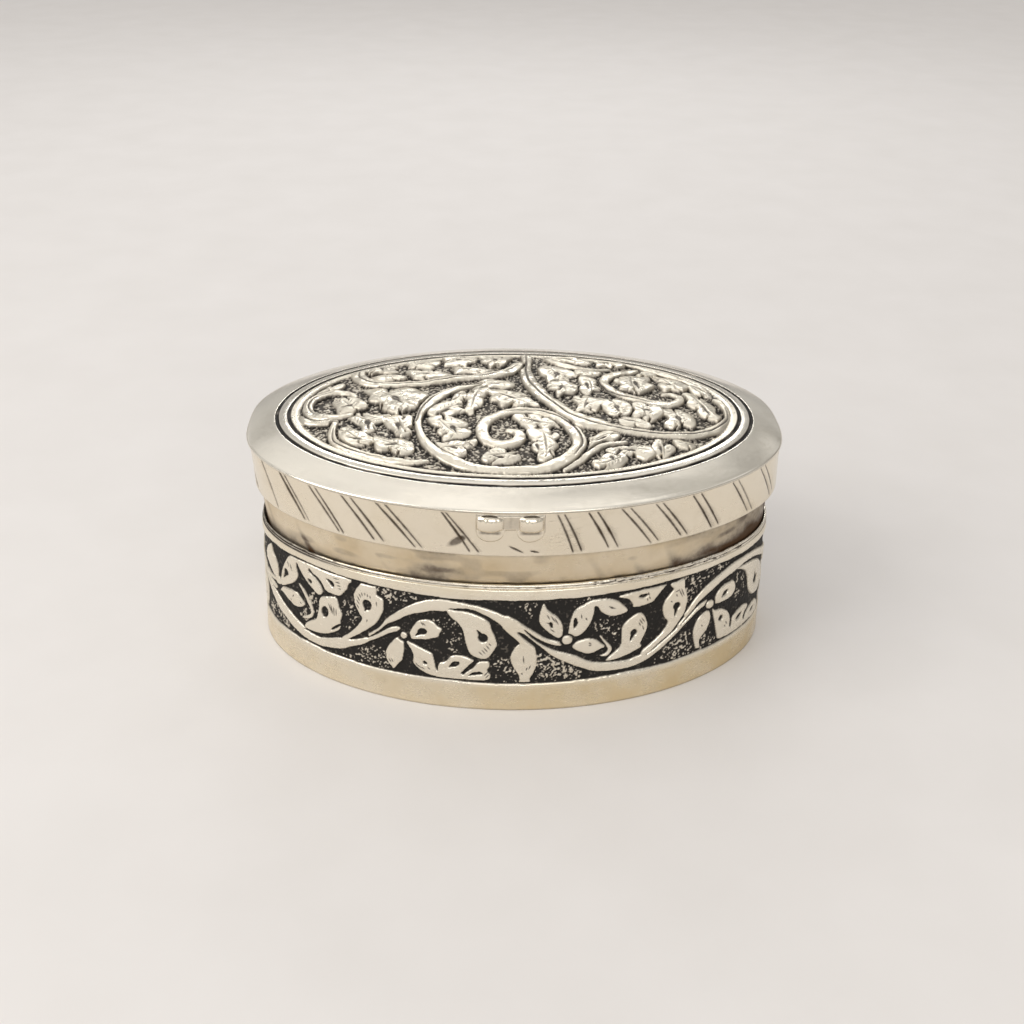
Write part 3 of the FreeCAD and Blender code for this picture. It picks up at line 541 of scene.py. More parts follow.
RIBBONS = [   # ribbons that taper
 [(-5.0, 6.6, .3), (-7.6, 5.4, 1.0), (-9.8, 4.0, 1.5), (-11.6, 1.9, 1.9), (-13.0, -.5, 1.7),
  (-14.0, -3.4, 1.1), (-14.3, -6.0, 1.0), (-13.9, -9.3, 1.1), (-13.0, -12.0, 1.4), (-11.6, -14.3, 1.6),
  (-9.6, -16.4, 1.9), (-7.2, -18.0, 1.8), (-3.4, -19.0, 1.3), (.6, -19.1, 1.5), (4.2, -18.3, 2.0),
  (6.6, -16.5, 2.0), (8.3, -14.1, 2.0), (8.9, -11.6, 2.1), (8.2, -8.7, 2.0), (6.9, -6.2, 1.7),
  (4.9, -4.1, 1.6), (1.9, -2.9, 1.7), (-.9, -3.5, 1.5), (-3.3, -5.0, 1.7), (-4.8, -7.3, 1.9),
  (-4.9, -9.8, 1.8), (-4.1, -11.9, 1.9), (-2.2, -12.9, 2.0), (-.4, -12.3, 1.9), (.4, -10.9, 1.8),
  (-.1, -9.4, 1.3), (-1.3, -8.8, .8)],
 [(19.6, 13.2, 1.0), (18.0, 12.3, 1.5), (16.1, 11.4, 1.7), (14.7, 9.9, 1.7), (14.0, 7.9, 1.6),
  (14.6, 5.4, 1.6), (16.1, 3.4, 1.6), (18.2, 1.8, 1.6), (20.6, .8, 1.6), (22.9, .4, 1.6),
  (24.7, 1.2, 1.5), (25.2, 2.8, 1.3), (24.2, 4.0, 1.1), (22.8, 3.8, .8)],
 [(18.6, 16.4, .8), (21.0, 14.8, 1.5), (23.8, 12.7, 1.9), (26.6, 10.8, 1.9), (28.8, 8.6, 1.6),
  (30.0, 6.2, .9)],
 [(-24.4, -3.0, .9), (-27.2, -3.6, 1.4), (-29.6, -2.9, 1.6), (-30.9, -1.0, 1.6), (-31.0, 1.6, 1.5),
  (-29.9, 3.8, 1.5), (-27.8, 4.9, 1.4), (-25.6, 4.6, 1.1), (-24.2, 3.2, .8)],
 [(-32.6, -1.6, .8), (-31.2, -4.2, 1.2), (-28.8, -5.2, 1.2), (-26.4, -5.0, .9)],
 [(-26.5, -5.6, .9), (-26.7, -8.2, 1.1), (-26.0, -10.9, 1.2), (-23.4, -13.4, 1.3),
  (-19.3, -15.5, 1.3), (-15, -16.8, 1.0), (-12.6, -16.6, .6)],
 [(6.4, -19.0, .6), (8.6, -16.9, .9), (10.4, -14.6, .9), (12.6, -12.7, .8), (15.6, -11.6, .6)],
 [(-31.6, 4.0, .6), (-30.6, 6.4, 1.1), (-28.9, 8.8, 1.2), (-27.2, 11.4, 1.0), (-26.2, 13.2, .5)],
 [(5.2, 17.9, .6), (7.4, 15.6, 1.1), (10.2, 13.9, 1.3), (13.0, 13.2, 1.1), (15.4, 13.8, .6)],
]
FOLIAGE = [   # closed leaf outlines
 # inside the front loop
 [(-.4, -5.0), (1.6, -4.6), (3.9, -5.0), (5.9, -6.3), (6.4, -7.6), (5.2, -7.4), (4.4, -8.4), (3.2, -7.6), (2.0, -8.6), (1.0, -7.4), (.4, -6.4)],
 [(1.6, -9.2), (3.4, -8.7), (5.2, -8.9), (6.0, -10.2), (5.2, -11.4), (5.7, -12.8), (5.0, -14.2), (5.0, -15.6), (4.2, -17),
  (2.9, -16.4), (3.0, -14.8), (2.1, -13.6), (2.6, -12.2), (1.8, -10.8)],
 [(-3.9, -14.9), (-2.4, -14.2), (-1.4, -14.9), (-.2, -15.0), (.3, -16.3), (-.6, -17.2), (-2.2, -17.6), (-3.8, -17.4), (-5.0, -16.6)],
 [(-12.9, -3.6), (-12.0, -1.6), (-10.4, -.2), (-8.6, .4), (-7.9, -.9), (-8.6, -1.8), (-7.6, -3.0), (-8.9, -3.6), (-9.8, -4.6), (-11.6, -4.5)],
 [(-12.7, -5.4), (-10.6, -5.0), (-8.8, -5.5), (-7.2, -6.6), (-7.4, -8.0), (-6.6, -9.0), (-7.5, -10.4), (-8.9, -10.6), (-10.4, -11.7),
  (-10.6, -10.0), (-11.3, -9.2), (-10.8, -7.9), (-12.2, -6.8)],
 [(-12.0, -12.0), (-10.2, -12.6), (-8.8, -11.9), (-7.4, -12.2), (-5.8, -11.4), (-6.2, -13.0), (-7.3, -13.8), (-7.4, -15.2), (-8.9, -15.5), (-10.3, -14.5), (-11.2, -13.6)],
 [(-6.1, 4.6), (-5.0, 5.2), (-4.0, 4.3), (-4.2, 2.8), (-4.8, 1.4), (-5.0, -.6), (-5.9, -2.4), (-6.6, -4.0), (-7.3, -2.4), (-7.0, -.4), (-7.2, 1.4), (-6.6, 3.2)],
 [(-3.9, 3.6), (-2.4, 4.2), (-.8, 3.6), (.8, 3.4), (1.9, 1.9), (2.6, .2), (3.5, -1.5), (2.0, -1.0), (.8, -1.9), (-.6, -1.2), (-2.0, -1.7), (-2.6, -.2), (-3.7, .8), (-3.2, 2.0)],
 [(-5.2, 7.0), (-3.6, 8.0), (-2.0, 7.5), (-.4, 7.4), (-.1, 5.9), (-1.3, 4.9), (-2.8, 5.2), (-4.4, 4.9)],
 [(-9.4, .6), (-8.9, 2.4), (-7.9, 3.9), (-7.4, 2.4), (-7.6, .8), (-8.5, .6)],
 # left group
 [(-22.9, 5.4), (-20.8, 5.9), (-19.2, 5.2), (-17.2, 5.7), (-15.2, 5.2), (-13.6, 3.2), (-12.9, 1.2), (-14.4, .2), (-14.6, -1.8), (-16.1, -2.2),
  (-17.2, -3.6), (-18.9, -2.6), (-19.9, -1.4), (-20.3, .4), (-21.9, 1.4), (-21.8, 3.4)],
 [(-27.4, 1.8), (-25.6, 2.6), (-24.0, 2.2), (-22.9, .8), (-22.2, -.8), (-23.6, -1.4), (-24.6, -2.5), (-26.2, -2.0), (-26.6, -.4)],
 [(-25.0, -3.2), (-22.8, -2.8), (-20.6, -3.8), (-18.6, -4.0), (-19.4, -5.4), (-20.8, -6.2), (-20.4, -7.8), (-22.0, -8.4), (-22.4, -6.6), (-23.4, -5.4)],
 [(-19.2, -4.6), (-17.0, -3.9), (-15.2, -4.7), (-14.9, -6.6), (-15.9, -8.0), (-15.2, -9.6), (-17.0, -10.2), (-17.6, -8.4), (-18.8, -6.8)],
 [(-25.7, -7.6), (-24.3, -6.6), (-23.3, -8.0), (-21.7, -9.1), (-20.5, -10.6), (-21.5, -12.0), (-23.3, -12.0), (-24.9, -10.6), (-25.8, -9.0)],
 [(-20.2, -9.9), (-18.3, -10.4), (-16.4, -11.0), (-14.9, -12.2), (-15.0, -14.3), (-16.8, -14.7), (-18.0, -13.6), (-19.7, -13.7), (-20.2, -11.8)],
 [(-31.6, 5.4), (-29.8, 6.2), (-28.0, 7.6), (-26.4, 8.4), (-26.8, 6.6), (-28.2, 5.7), (-30.2, 5.0)],
 [(-30.4, 8.0), (-28.8, 9.0), (-27.4, 10.9), (-28.7, 11.3), (-30.1, 9.9)],
 [(-23.4, 15.8), (-21.6, 16.8), (-19.8, 16.2), (-18.4, 15.0), (-19.0, 13.6), (-18.2, 12.2), (-19.9, 11.6), (-21.2, 12.4), (-22.6, 11.6), (-22.6, 13.9)],
 [(-22.0, 10.7), (-20.0, 11.0), (-18.2, 10.6), (-16.8, 9.4), (-18.3, 8.9), (-20.2, 8.9), (-21.6, 9.6)],
 [(-17.6, 17.2), (-15.6, 18.0), (-13.8, 17.4), (-12.0, 17.6), (-11.8, 15.8), (-12.9, 14.8), (-12.6, 13.6), (-14.6, 13.9), (-16.4, 13.8), (-16.6, 15.4)],
 [(-16.8, 12.6), (-14.6, 12.8), (-12.6, 12.4), (-11.0, 11.4), (-9.6, 9.9), (-11.8, 9.6), (-13.6, 9.0), (-15.4, 9.4), (-16.0, 10.8)],
 [(-11.2, 18.4), (-9.0, 19.3), (-7.4, 18.4), (-5.9, 18.2), (-6.2, 16.4), (-7.4, 15.6), (-7.6, 14.2), (-9.4, 14.8), (-10.8, 14.8), (-10.6, 16.6)],
 [(-9.8, 13.7), (-8.0, 14.0), (-6.2, 13.1), (-4.4, 12.2), (-2.9, 11.4), (-5.0, 11.0), (-7.2, 11.5), (-9.0, 11.2), (-9.2, 12.4)],
 [(-5.3, 19.4), (-3.4, 19.8), (-1.6, 19.0), (-.1, 18.6), (-.9, 16.6), (-1.4, 14.8), (-2.8, 14.6), (-3.6, 13.4), (-4.0, 15.4), (-5.0, 16.8), (-4.4, 18.0)],
 # right group
 [(16.4, 11.0), (17.8, 11.9), (19.2, 11.3), (20.6, 11.4), (21.4, 9.8), (20.8, 8.2), (21.6, 6.6), (20.4, 5.0), (18.8, 3.9), (17.8, 5.2), (16.4, 5.4), (16.8, 7.2), (15.8, 9.0)],
 [(22.0, 11.2), (24.0, 10.6), (26.0, 9.2), (27.0, 7.2), (25.8, 5.4), (24.4, 6.2), (23.4, 5.4), (22.6, 7.2), (22.9, 9.0)],
 [(25.7, 3.6), (26.8, 4.8), (28.4, 3.8), (29.2, 2.0), (30.2, .2), (29.9, -1.6), (30.6, -3.4), (29.6, -4.6), (28.6, -3.6), (27.6, -2.7),
  (27.4, -.8), (26.2, .6), (26.6, 2.2)],
 [(27.6, 7.6), (29.4, 6.4), (30.6, 4.0), (29.0, 4.4), (27.6, 5.4)],
 [(8.8, 1.4), (10.2, 2.4), (11.9, 1.2), (13.2, 1.2), (12.6, -1.2), (11.7, -2.9), (10.2, -2.4), (9.0, -3.0), (9.6, -.8)],
 [(13.2, .2), (14.6, .9), (16.4, .5), (17.3, -1.2), (16.8, -3.1), (15.4, -3.8), (14.0, -3.3), (13.2, -1.8)],
 [(17.8, -.2), (19.6, .1), (21.4, -.7), (22.0, -2.6), (21.0, -4.3), (19.6, -5.4), (18.6, -4.2), (17.4, -3.6), (18.0, -2.0)],
 [(22.0, -1.8), (23.8, -.9), (25.6, -2.4), (26.4, -4.4), (26.0, -6.4), (24.4, -6.0), (23.2, -7.3), (21.9, -6.0), (22.8, -4.4)],
 [(15.4, -4.8), (17.4, -4.6), (19.2, -5.9), (19.6, -7.3), (17.6, -6.9), (15.6, -6.4)],
 [(4.2, 12.8), (5.8, 13.7), (7.6, 13.3), (9.2, 12.0), (9.8, 10.2), (8.6, 9.6), (8.4, 8.2), (6.6, 8.4), (5.4, 7.6), (5.2, 9.4), (4.3, 10.6)],
 [(5.6, 7.0), (7.4, 7.6), (9.2, 6.6), (9.6, 4.8), (9.0, 3.2), (7.6, 3.2), (6.6, 2.2), (6.4, 4.0), (5.3, 5.2)],
 [(10.0, 8.9), (11.8, 9.4), (13.1, 7.9), (12.5, 6.6), (13.3, 5.0), (12.0, 4.6), (11.2, 3.2), (10.2, 4.8), (10.6, 6.6)],
 [(10.0, 12.5), (11.8, 12.9), (13.8, 12.3), (13.2, 10.8), (11.6, 10.4), (10.2, 9.9)],
 [(5.8, 19.2), (8.0, 19.7), (10.0, 19.0), (11.6, 17.6), (12.4, 15.9), (10.6, 15.8), (9.2, 16.9), (7.6, 16.6), (6.8, 17.8)],
 [(13.2, 18.6), (15.2, 18.4), (17.2, 17.2), (18.0, 15.4), (16.2, 14.9), (15.0, 15.6), (13.6, 15.2), (13.8, 16.8)],
 [(19.2, 12.3), (20.9, 13.2), (22.8, 12.4), (22.4, 11.5), (20.6, 11.3)],
 # spray in front on the right
 [(9.8, -13.4), (10.0, -11.2), (11.4, -10.3), (12.2, -9.3), (13.9, -8.9), (14.8, -9.8), (14.0, -11.1), (12.6, -11.4), (11.2, -12.4)],
 [(12.3, -13.4), (14.2, -12.4), (15.8, -13.0), (17.2, -12.6), (18.9, -13.0), (19.4, -14.6), (17.9, -15.9), (16.4, -14.8), (14.8, -14.6)],
 [(19.3, -12.6), (20.3, -10.8), (21.1, -12.0), (22.4, -12.9), (21.5, -14.3), (20.4, -15.5), (19.6, -14.4)],
 [(12.2, -15.2), (14.2, -14.3), (15.3, -15.6), (14.6, -17.2), (13.4, -18.3), (11.6, -18.4), (10.4, -17.4), (11.6, -16.4)],
 [(22.6, -10.7), (24.2, -10.9), (25.6, -11.4), (24.6, -12.7), (22.9, -12.1)],
]
PITS = [   # x, y, half length, half width, turn
 (2.75, -13.4, .42, .7, 10), (-2.4, -16.4, .8, .45, -15), (-10.2, -2.9, .9, .4, 40), (-9.2, -8.2, .7, .95, 20),
 (-8.9, -13.7, .8, .5, -20), (-.6, 1.2, 1.5, .3, -40), (-2.6, 6.1, .9, .35, 5), (3.0, -6.6, 1.2, .3, -15),
 (-18.0, 1.6, .8, 1.7, 25), (-24.8, -.2, .8, .55, 20), (-21.7, -5.8, .75, 1.3, 8), (-17.2, -6.9, .6, 1.1, 6),
 (-22.9, -10.6, .95, .5, -15), (-17.5, -12.3, .8, .6, 10), (-20.9, 14.0, .6, .95, 12), (-14.6, 15.6, .9, .6, 10),
 (-13.9, 11.0, 1.1, .45, -8), (-8.6, 17.1, .8, .6, -15), (-7.2, 12.4, 1.0, .32, -25), (-2.8, 17.3, .6, 1.0, 10),
 (19.0, 7.6, .55, 1.7, 4), (24.2, 7.8, .8, .5, -45), (28.5, -.4, .4, 1.6, 12), (10.7, -.7, .5, .8, -20),
 (15.2, -1.5, .65, .85, 5), (19.6, -2.4, .8, .55, -35), (24.1, -4.4, .7, 1.2, 8), (17.1, -5.9, .8, .25, -20),
 (6.9, 10.5, .8, .95, -15), (7.3, 5.2, .6, 1.0, -15), (11.3, 6.4, .5, 1.1, 4), (9.0, 17.7, 1.1, .4, -15),
 (15.2, 16.4, .9, .45, -15), (12.4, -11.0, .9, .35, 35), (16.2, -14.0, .9, .35, -20), (20.4, -13.0, .3, .8, 0),
 (13.2, -15.9, .5, .7, 10), (-29.2, 6.7, .8, .25, 35),
]
GROOVES = [   # cut lines inside the ribbons
 [(2.3, 19.5, .12), (2.2, 15.5, .3), (2.0, 11.3, .34), (2.4, 7.2, .34), (3.7, 3.1, .34), (5.6, -.4, .34),
  (7.8, -4.0, .34), (11.0, -6.6, .34), (15.2, -8.3, .34), (20.0, -9.1, .34), (25.0, -8.9, .34),
  (29.2, -6.9, .3), (31.6, -3.4, .25), (31.9, .2, .1)],
 [(.9, 14.4, .1), (-1.0, 11.9, .3), (-4.2, 9.8, .34), (-8.0, 9.2, .34), (-12.4, 7.7, .34), (-17.2, 7.1, .34),
  (-21.4, 7.7, .34), (-24.0, 10.0, .3), (-24.3, 13.0, .1)],
 [(-9.4, 4.8, .1), (-12.0, 2.2, .26), (-13.9, -1.8, .3), (-14.6, -6.0, .22)],
 [(8.0, -15.6, .1), (9.3, -12.2, .3), (8.6, -8.5, .34), (6.6, -5.4, .34), (3.8, -3.4, .34), (.6, -3.1, .25), (-1.4, -3.7, .1)],
 [(13.6, 10.2, .1), (13.3, 7.7, .26), (14.1, 5.0, .3), (15.9, 2.9, .3), (18.6, 1.3, .25), (21.5, .5, .1)],
 [(21.4, 14.4, .1), (24.2, 12.4, .3), (27.2, 10.2, .3), (29.2, 7.8, .1)],
 [(-29.6, -2.8, .1), (-31.0, .2, .28), (-30.3, 3.4, .28), (-27.8, 4.9, .1)],
 [(-26.6, -7.0, .1), (-26.2, -10.6, .26), (-23.2, -13.4, .3), (-19.0, -15.5, .1)],
]
FRINGE = [   # rows of fine cross cuts along leaf edges: x, y, turn, length
 (-20.3, 4.6, 60, 1.2), (-19.5, 4.9, 75, 1.3), (-18.5, 5.0, 90, 1.3), (-17.5, 4.8, 105, 1.2),
 (-21.0, 3.6, 40, 1.2), (-21.2, 2.6, 25, 1.1), (-16.0, -1.9, 120, 1.1), (-16.9, -2.4, 105, 1.1),
 (-17.9, -2.6, 90, 1.1), (-18.9, -2.3, 70, 1.0), (17.6, 9.8, 120, 1.2), (18.4, 10.5, 100, 1.2),
 (19.4, 10.6, 80, 1.2), (20.2, 9.8, 55, 1.2), (20.6, 8.7, 35, 1.1), (3.9, -16.0, 80, 1.0),
 (4.4, -15.0, 60, 1.0), (4.6, -13.7, 40, .9), (-11.3, -6.2, 45, 1.0), (-10.4, -6.0, 70, 1.1),
 (-9.4, -6.1, 95, 1.1), (-8.5, -6.7, 120, 1.0), (29.0, 1.4, 30, .9), (29.5, .2, 20, .9),
 (29.8, -1.0, 15, .9), (1.3, 2.6, -50, 1.0), (1.9, 1.7, -45, 1.0), (2.5, .7, -40, 1.0),
 (-1.2, 3.1, 80, .9), (-.3, 3.0, 70, .9), (-8.2, -3.2, 60, .9), (-9.4, -1.4, 50, .9),
]


def panel_maps(step):
    cv = Canvas(-34.6, 34.6, -21.8, 21.8, step)
    body, cut, tool = cv.blank(), cv.blank(), cv.blank()
    lift = cv.blank()
    X = (cv.x0 + cv.step * np.arange(cv.nx))[None, :]
    Y = (cv.y0 + cv.step * np.arange(cv.ny))[:, None]
    tilt = np.random.default_rng(12)
    for pts in FOLIAGE:
        m = cv.blank()
        cv.blob(m, pts, grow=.2)
        body = np.maximum(body, m)
        mid = np.mean(np.array(pts), 0)
        gx, gy = tilt.uniform(-.075, .075), tilt.uniform(-.085, .05)
        plane = tilt.uniform(-.06, .05) + gx * (X - mid[0]) + gy * (Y - mid[1])
        lift = lift * (1 - m) + np.clip(plane, -.2, .22) * m
        # notches that part the leaf into lobes
        n = len(pts)
        first = int(tilt.integers(0, n))
        for k in range(0, n, 3 + n // 5):
            e = np.array(pts[(first + k) % n])
            out = e + (e - mid) * .35
            tip = e + (mid - e) * tilt.uniform(.38, .62)
            side = np.array([-(e - mid)[1], (e - mid)[0]]) * tilt.uniform(-.22, .22)
            cv.stroke(body, [(out[0], out[1], .5), (e[0], e[1], .3),
                             ((e[0] + tip[0]) / 2 + side[0], (e[1] + tip[1]) / 2 + side[1], .2),
                             (tip[0], tip[1], .06)], 0.0)
    for pts in RIBBONS:
        gap = cv.blank()
        cv.stroke(gap, pts, 1.0, grow=.34)
        body *= 1 - gap
        lift *= 1 - gap
        cv.stroke(body, pts)
    for pts in BANDS:
        gap = cv.blank()
        cv.blob(gap, pts, 1.0, grow=.36)
        body *= 1 - gap
        lift *= 1 - gap
        cv.blob(body, pts)
        m = cv.blank()
        cv.blob(m, pts)
        lift += .06 * m
    for pts in GROOVES:
        cv.stroke(cut, pts)
    for x, y, a, b, turn in PITS:
        a, b = a * .62, b * .62
        cv.disc(cut, x, y, a, 1.0, b, turn)
        tail = math.radians(turn + (0 if a > b else 90))
        far = max(a, b) * 2.8
        cv.stroke(cut, [(x, y, .45), (x - far * .6 * math.cos(tail), y - far * .6 * math.sin(tail), .28),
                        (x - far * math.cos(tail), y - far * math.sin(tail), .06)])
    for x, y, turn, size in FRINGE:
        c, s = math.cos(math.radians(turn)) * size / 2, math.sin(math.radians(turn)) * size / 2
        cv.stroke(tool, [(x - c, y - s, .06), (x, y, .2), (x + c, y + s, .08)])
    # fine graver strokes that run down every leaf
    rng = np.random.default_rng(5)
    for pts in FOLIAGE:
        p = np.array(pts)
        mid = p.mean(0)
        u = np.linalg.svd(p - mid)[2][0]
        w = np.array([-u[1], u[0]])
        along = (p - mid) @ u
        lo, hi = along.min(), along.max()
        wide = np.abs((p - mid) @ w).max()
        bow = rng.uniform(-.35, .35)
        rib = [mid + u * q + w * bow * (1 - ((q - (lo + hi) / 2) / (hi - lo) * 2) ** 2) for q in np.linspace(lo * .72, hi * .78, 7)]
        cv.stroke(cut, [(q[0], q[1], k) for q, k in zip(rib, (.06, .16, .2, .2, .17, .12, .05))], .8)
        way = 1 if rng.uniform() < .5 else -1
        for q in rib[1:-1]:
            for side in (-1, 1):
                lean = rng.uniform(.5, .9) * way
                far = wide * rng.uniform(.5, .72)
                near = .35
                d = w * side + u * lean
                a, b = q + d * near, q + d * far / np.hypot(1, lean)
                if np.hypot(*(b - a)) > .5:
                    cv.stroke(tool, [(a[0], a[1], .05), ((a[0] + b[0]) / 2, (a[1] + b[1]) / 2, .17), (b[0], b[1], .05)])
    rho = np.sqrt((X / PANEL_A) ** 2 + (Y / PANEL_B) ** 2)
    edge = np.clip((.978 - rho) / .02, 0, 1).astype(np.float32)
    return cv, body * edge, lift, cut, tool, edge


# ------------------------------------------------------------------- pieces
# Millimetres.  Every oval is the rim oval drawn in by an inset.
def span(node, axis):
    """Lowest and highest millimetre of a CAD node along one axis."""
    lo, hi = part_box(node)
    return round(lo[axis] * 1000, 1), round(hi[axis] * 1000, 1)


RIM_A, RIM_B = span("lid_top", 0)[1], span("lid_top", 1)[1]
# the height each piece is drawn from; its mesh is then set on its CAD node's foot
FOOT = {"base_floor": 0.0, "base_wall": 0.0, "neck_collar": 17.2, "seat_wire": 20.3,
        "lid_top": 33.5, "lid_skirt": 26.3, "thumb_catch": 28.7}
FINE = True


def arc_table(a, b, n=7200):
    """Angle as a function of length along the oval, from the front middle."""
    th = np.linspace(-math.pi / 2, 1.5 * math.pi, n + 1)
    x, y = a * np.cos(th), b * np.sin(th)
    s = np.concatenate([[0], np.cumsum(np.hypot(np.diff(x), np.diff(y)))])
    return s, th


ARC_S, ARC_T = arc_table(38.3, 25.5)
ROUND = ARC_S[-1]


def around(n):
    """n even steps along the oval: s (0 at the front, right positive), cos, sin."""
    s = np.arange(n) * ROUND / n
    th = np.interp(s, ARC_S, ARC_T)
    return np.where(s > ROUND / 2, s - ROUND, s), np.cos(th), np.sin(th)


def oval_point(c, s, inset, z, out=0.0):
    """Point on the inset oval pushed out along its flat normal."""
    a, b = RIM_A - inset, RIM_B - inset
    nx, ny = c / a, s / b
    k = 1.0 / np.hypot(nx, ny)
    return np.stack([a * c + out * nx * k, b * s + out * ny * k, z + 0 * c + 0 * out], -1)


def swell(c, s, z, lid):
    """The hand-bent ovals are a little fuller than true ones near their ends."""
    ac, as_ = np.abs(c), np.abs(s)
    four = np.sin(2 * np.arctan2(as_ * 2.475, ac)) ** 2
    right = np.clip(c, 0, 1)
    if lid:
        return (.72 * four * np.interp(z, [0, 26.3, 33.9, 36], [1, 1, .85, 0])
                + right ** 5 * np.interp(z, [26.3, 33.3, 33.8], [.75, .2, 0]))
    return (.18 * ac ** 9 * np.interp(z, [0, 4, 20.3, 21.4, 26.0], [.45, .5, 1.0, .95, 0])
            + .90 * four * np.interp(z, [0, 4, 20.3, 26.0, 33.4], [.45, .5, 1.0, .5, .4])
            + right ** 4 * np.interp(z, [0, 20, 26, 33.4], [.25, .45, .5, .1]))


def make(name, verts, quads, tris, node, body, slot, layers, smooth=True):
    me = bpy.data.meshes.new(name)
    verts = np.asarray(verts, float) + (0.0, 0.0, span(node, 2)[0] - FOOT[node])
    verts = verts.astype(np.float32) / 1000.0
    nq, nt = len(quads), len(tris)
    me.vertices.add(len(verts))
    me.vertices.foreach_set("co", verts.ravel())
    me.loops.add(nq * 4 + nt * 3)
    me.polygons.add(nq + nt)
    loops = np.concatenate([np.asarray(quads, np.int32).ravel(), np.asarray(tris, np.int32).ravel()])
    me.loops.foreach_set("vertex_index", loops)
    start = np.concatenate([np.arange(nq) * 4, nq * 4 + np.arange(nt) * 3]).astype(np.int32)
    me.polygons.foreach_set("loop_start", start)
    me.polygons.foreach_set("use_smooth", np.full(nq + nt, smooth))
    me.update(calc_edges=True)
    for key, data in layers.items():
        at = me.attributes.new(key, "FLOAT", "POINT")
        at.data.foreach_set("value", np.ascontiguousarray(data, np.float32).ravel())
    if me.validate():
        print("mesh mended:", name)
    ob = bpy.data.objects.new(name, me)
    bpy.context.scene.collection.objects.link(ob)
    ob.data.materials.append(MAT[slot])
    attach(ob, body)
    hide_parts(node)
    return ob


def torus_quads(n, m, base=0, flip=False):
    """Quads of a grid closed both ways: n round, m along the profile."""
    i, j = np.meshgrid(np.arange(n), np.arange(m), indexing="ij")
    i2, j2 = (i + 1) % n, (j + 1) % m
    q = np.stack([i * m + j, i2 * m + j, i2 * m + j2, i * m + j2], -1).reshape(-1, 4)
    return (q[:, ::-1] if flip else q) + base


def walk(points, step):
    """Even points along a broken line of (inset, z), keeping its corners."""
    out = []
    for (a, b), (c, d) in zip(points, points[1:]):
        n = max(1, int(math.ceil(math.hypot(c - a, d - b) / step)))
        t = np.arange(n) / n
        out += [(a + (c - a) * k, b + (d - b) * k) for k in t]
    return out


def lumps(seed, s, z, size, stretch=1.0):
    """Soft noise over (s, z), the same at both ends of the round."""
    n = int(ROUND / size)
    rng = np.random.default_rng(seed)
    m = 64
    g = rng.uniform(-1, 1, (n, m))
    u = (s % ROUND) / ROUND * n
    v = np.clip((z + 4) / (size * stretch), 0, m - 2)
    i, j = np.floor(u).astype(int) % n, np.floor(v).astype(int)
    fu, fv = u - np.floor(u), v - j
    fu, fv = fu * fu * (3 - 2 * fu), fv * fv * (3 - 2 * fv)
    i2, j2 = (i + 1) % n, j + 1
    return ((g[i, j] * (1 - fu) + g[i2, j] * fu) * (1 - fv) + (g[i, j2] * (1 - fu) + g[i2, j2] * fu) * fv)


def ahead(S):
    """1 round the front, easing to 0 at the middle of the back."""
    return 1 - ease(abs(S), 55, 95)


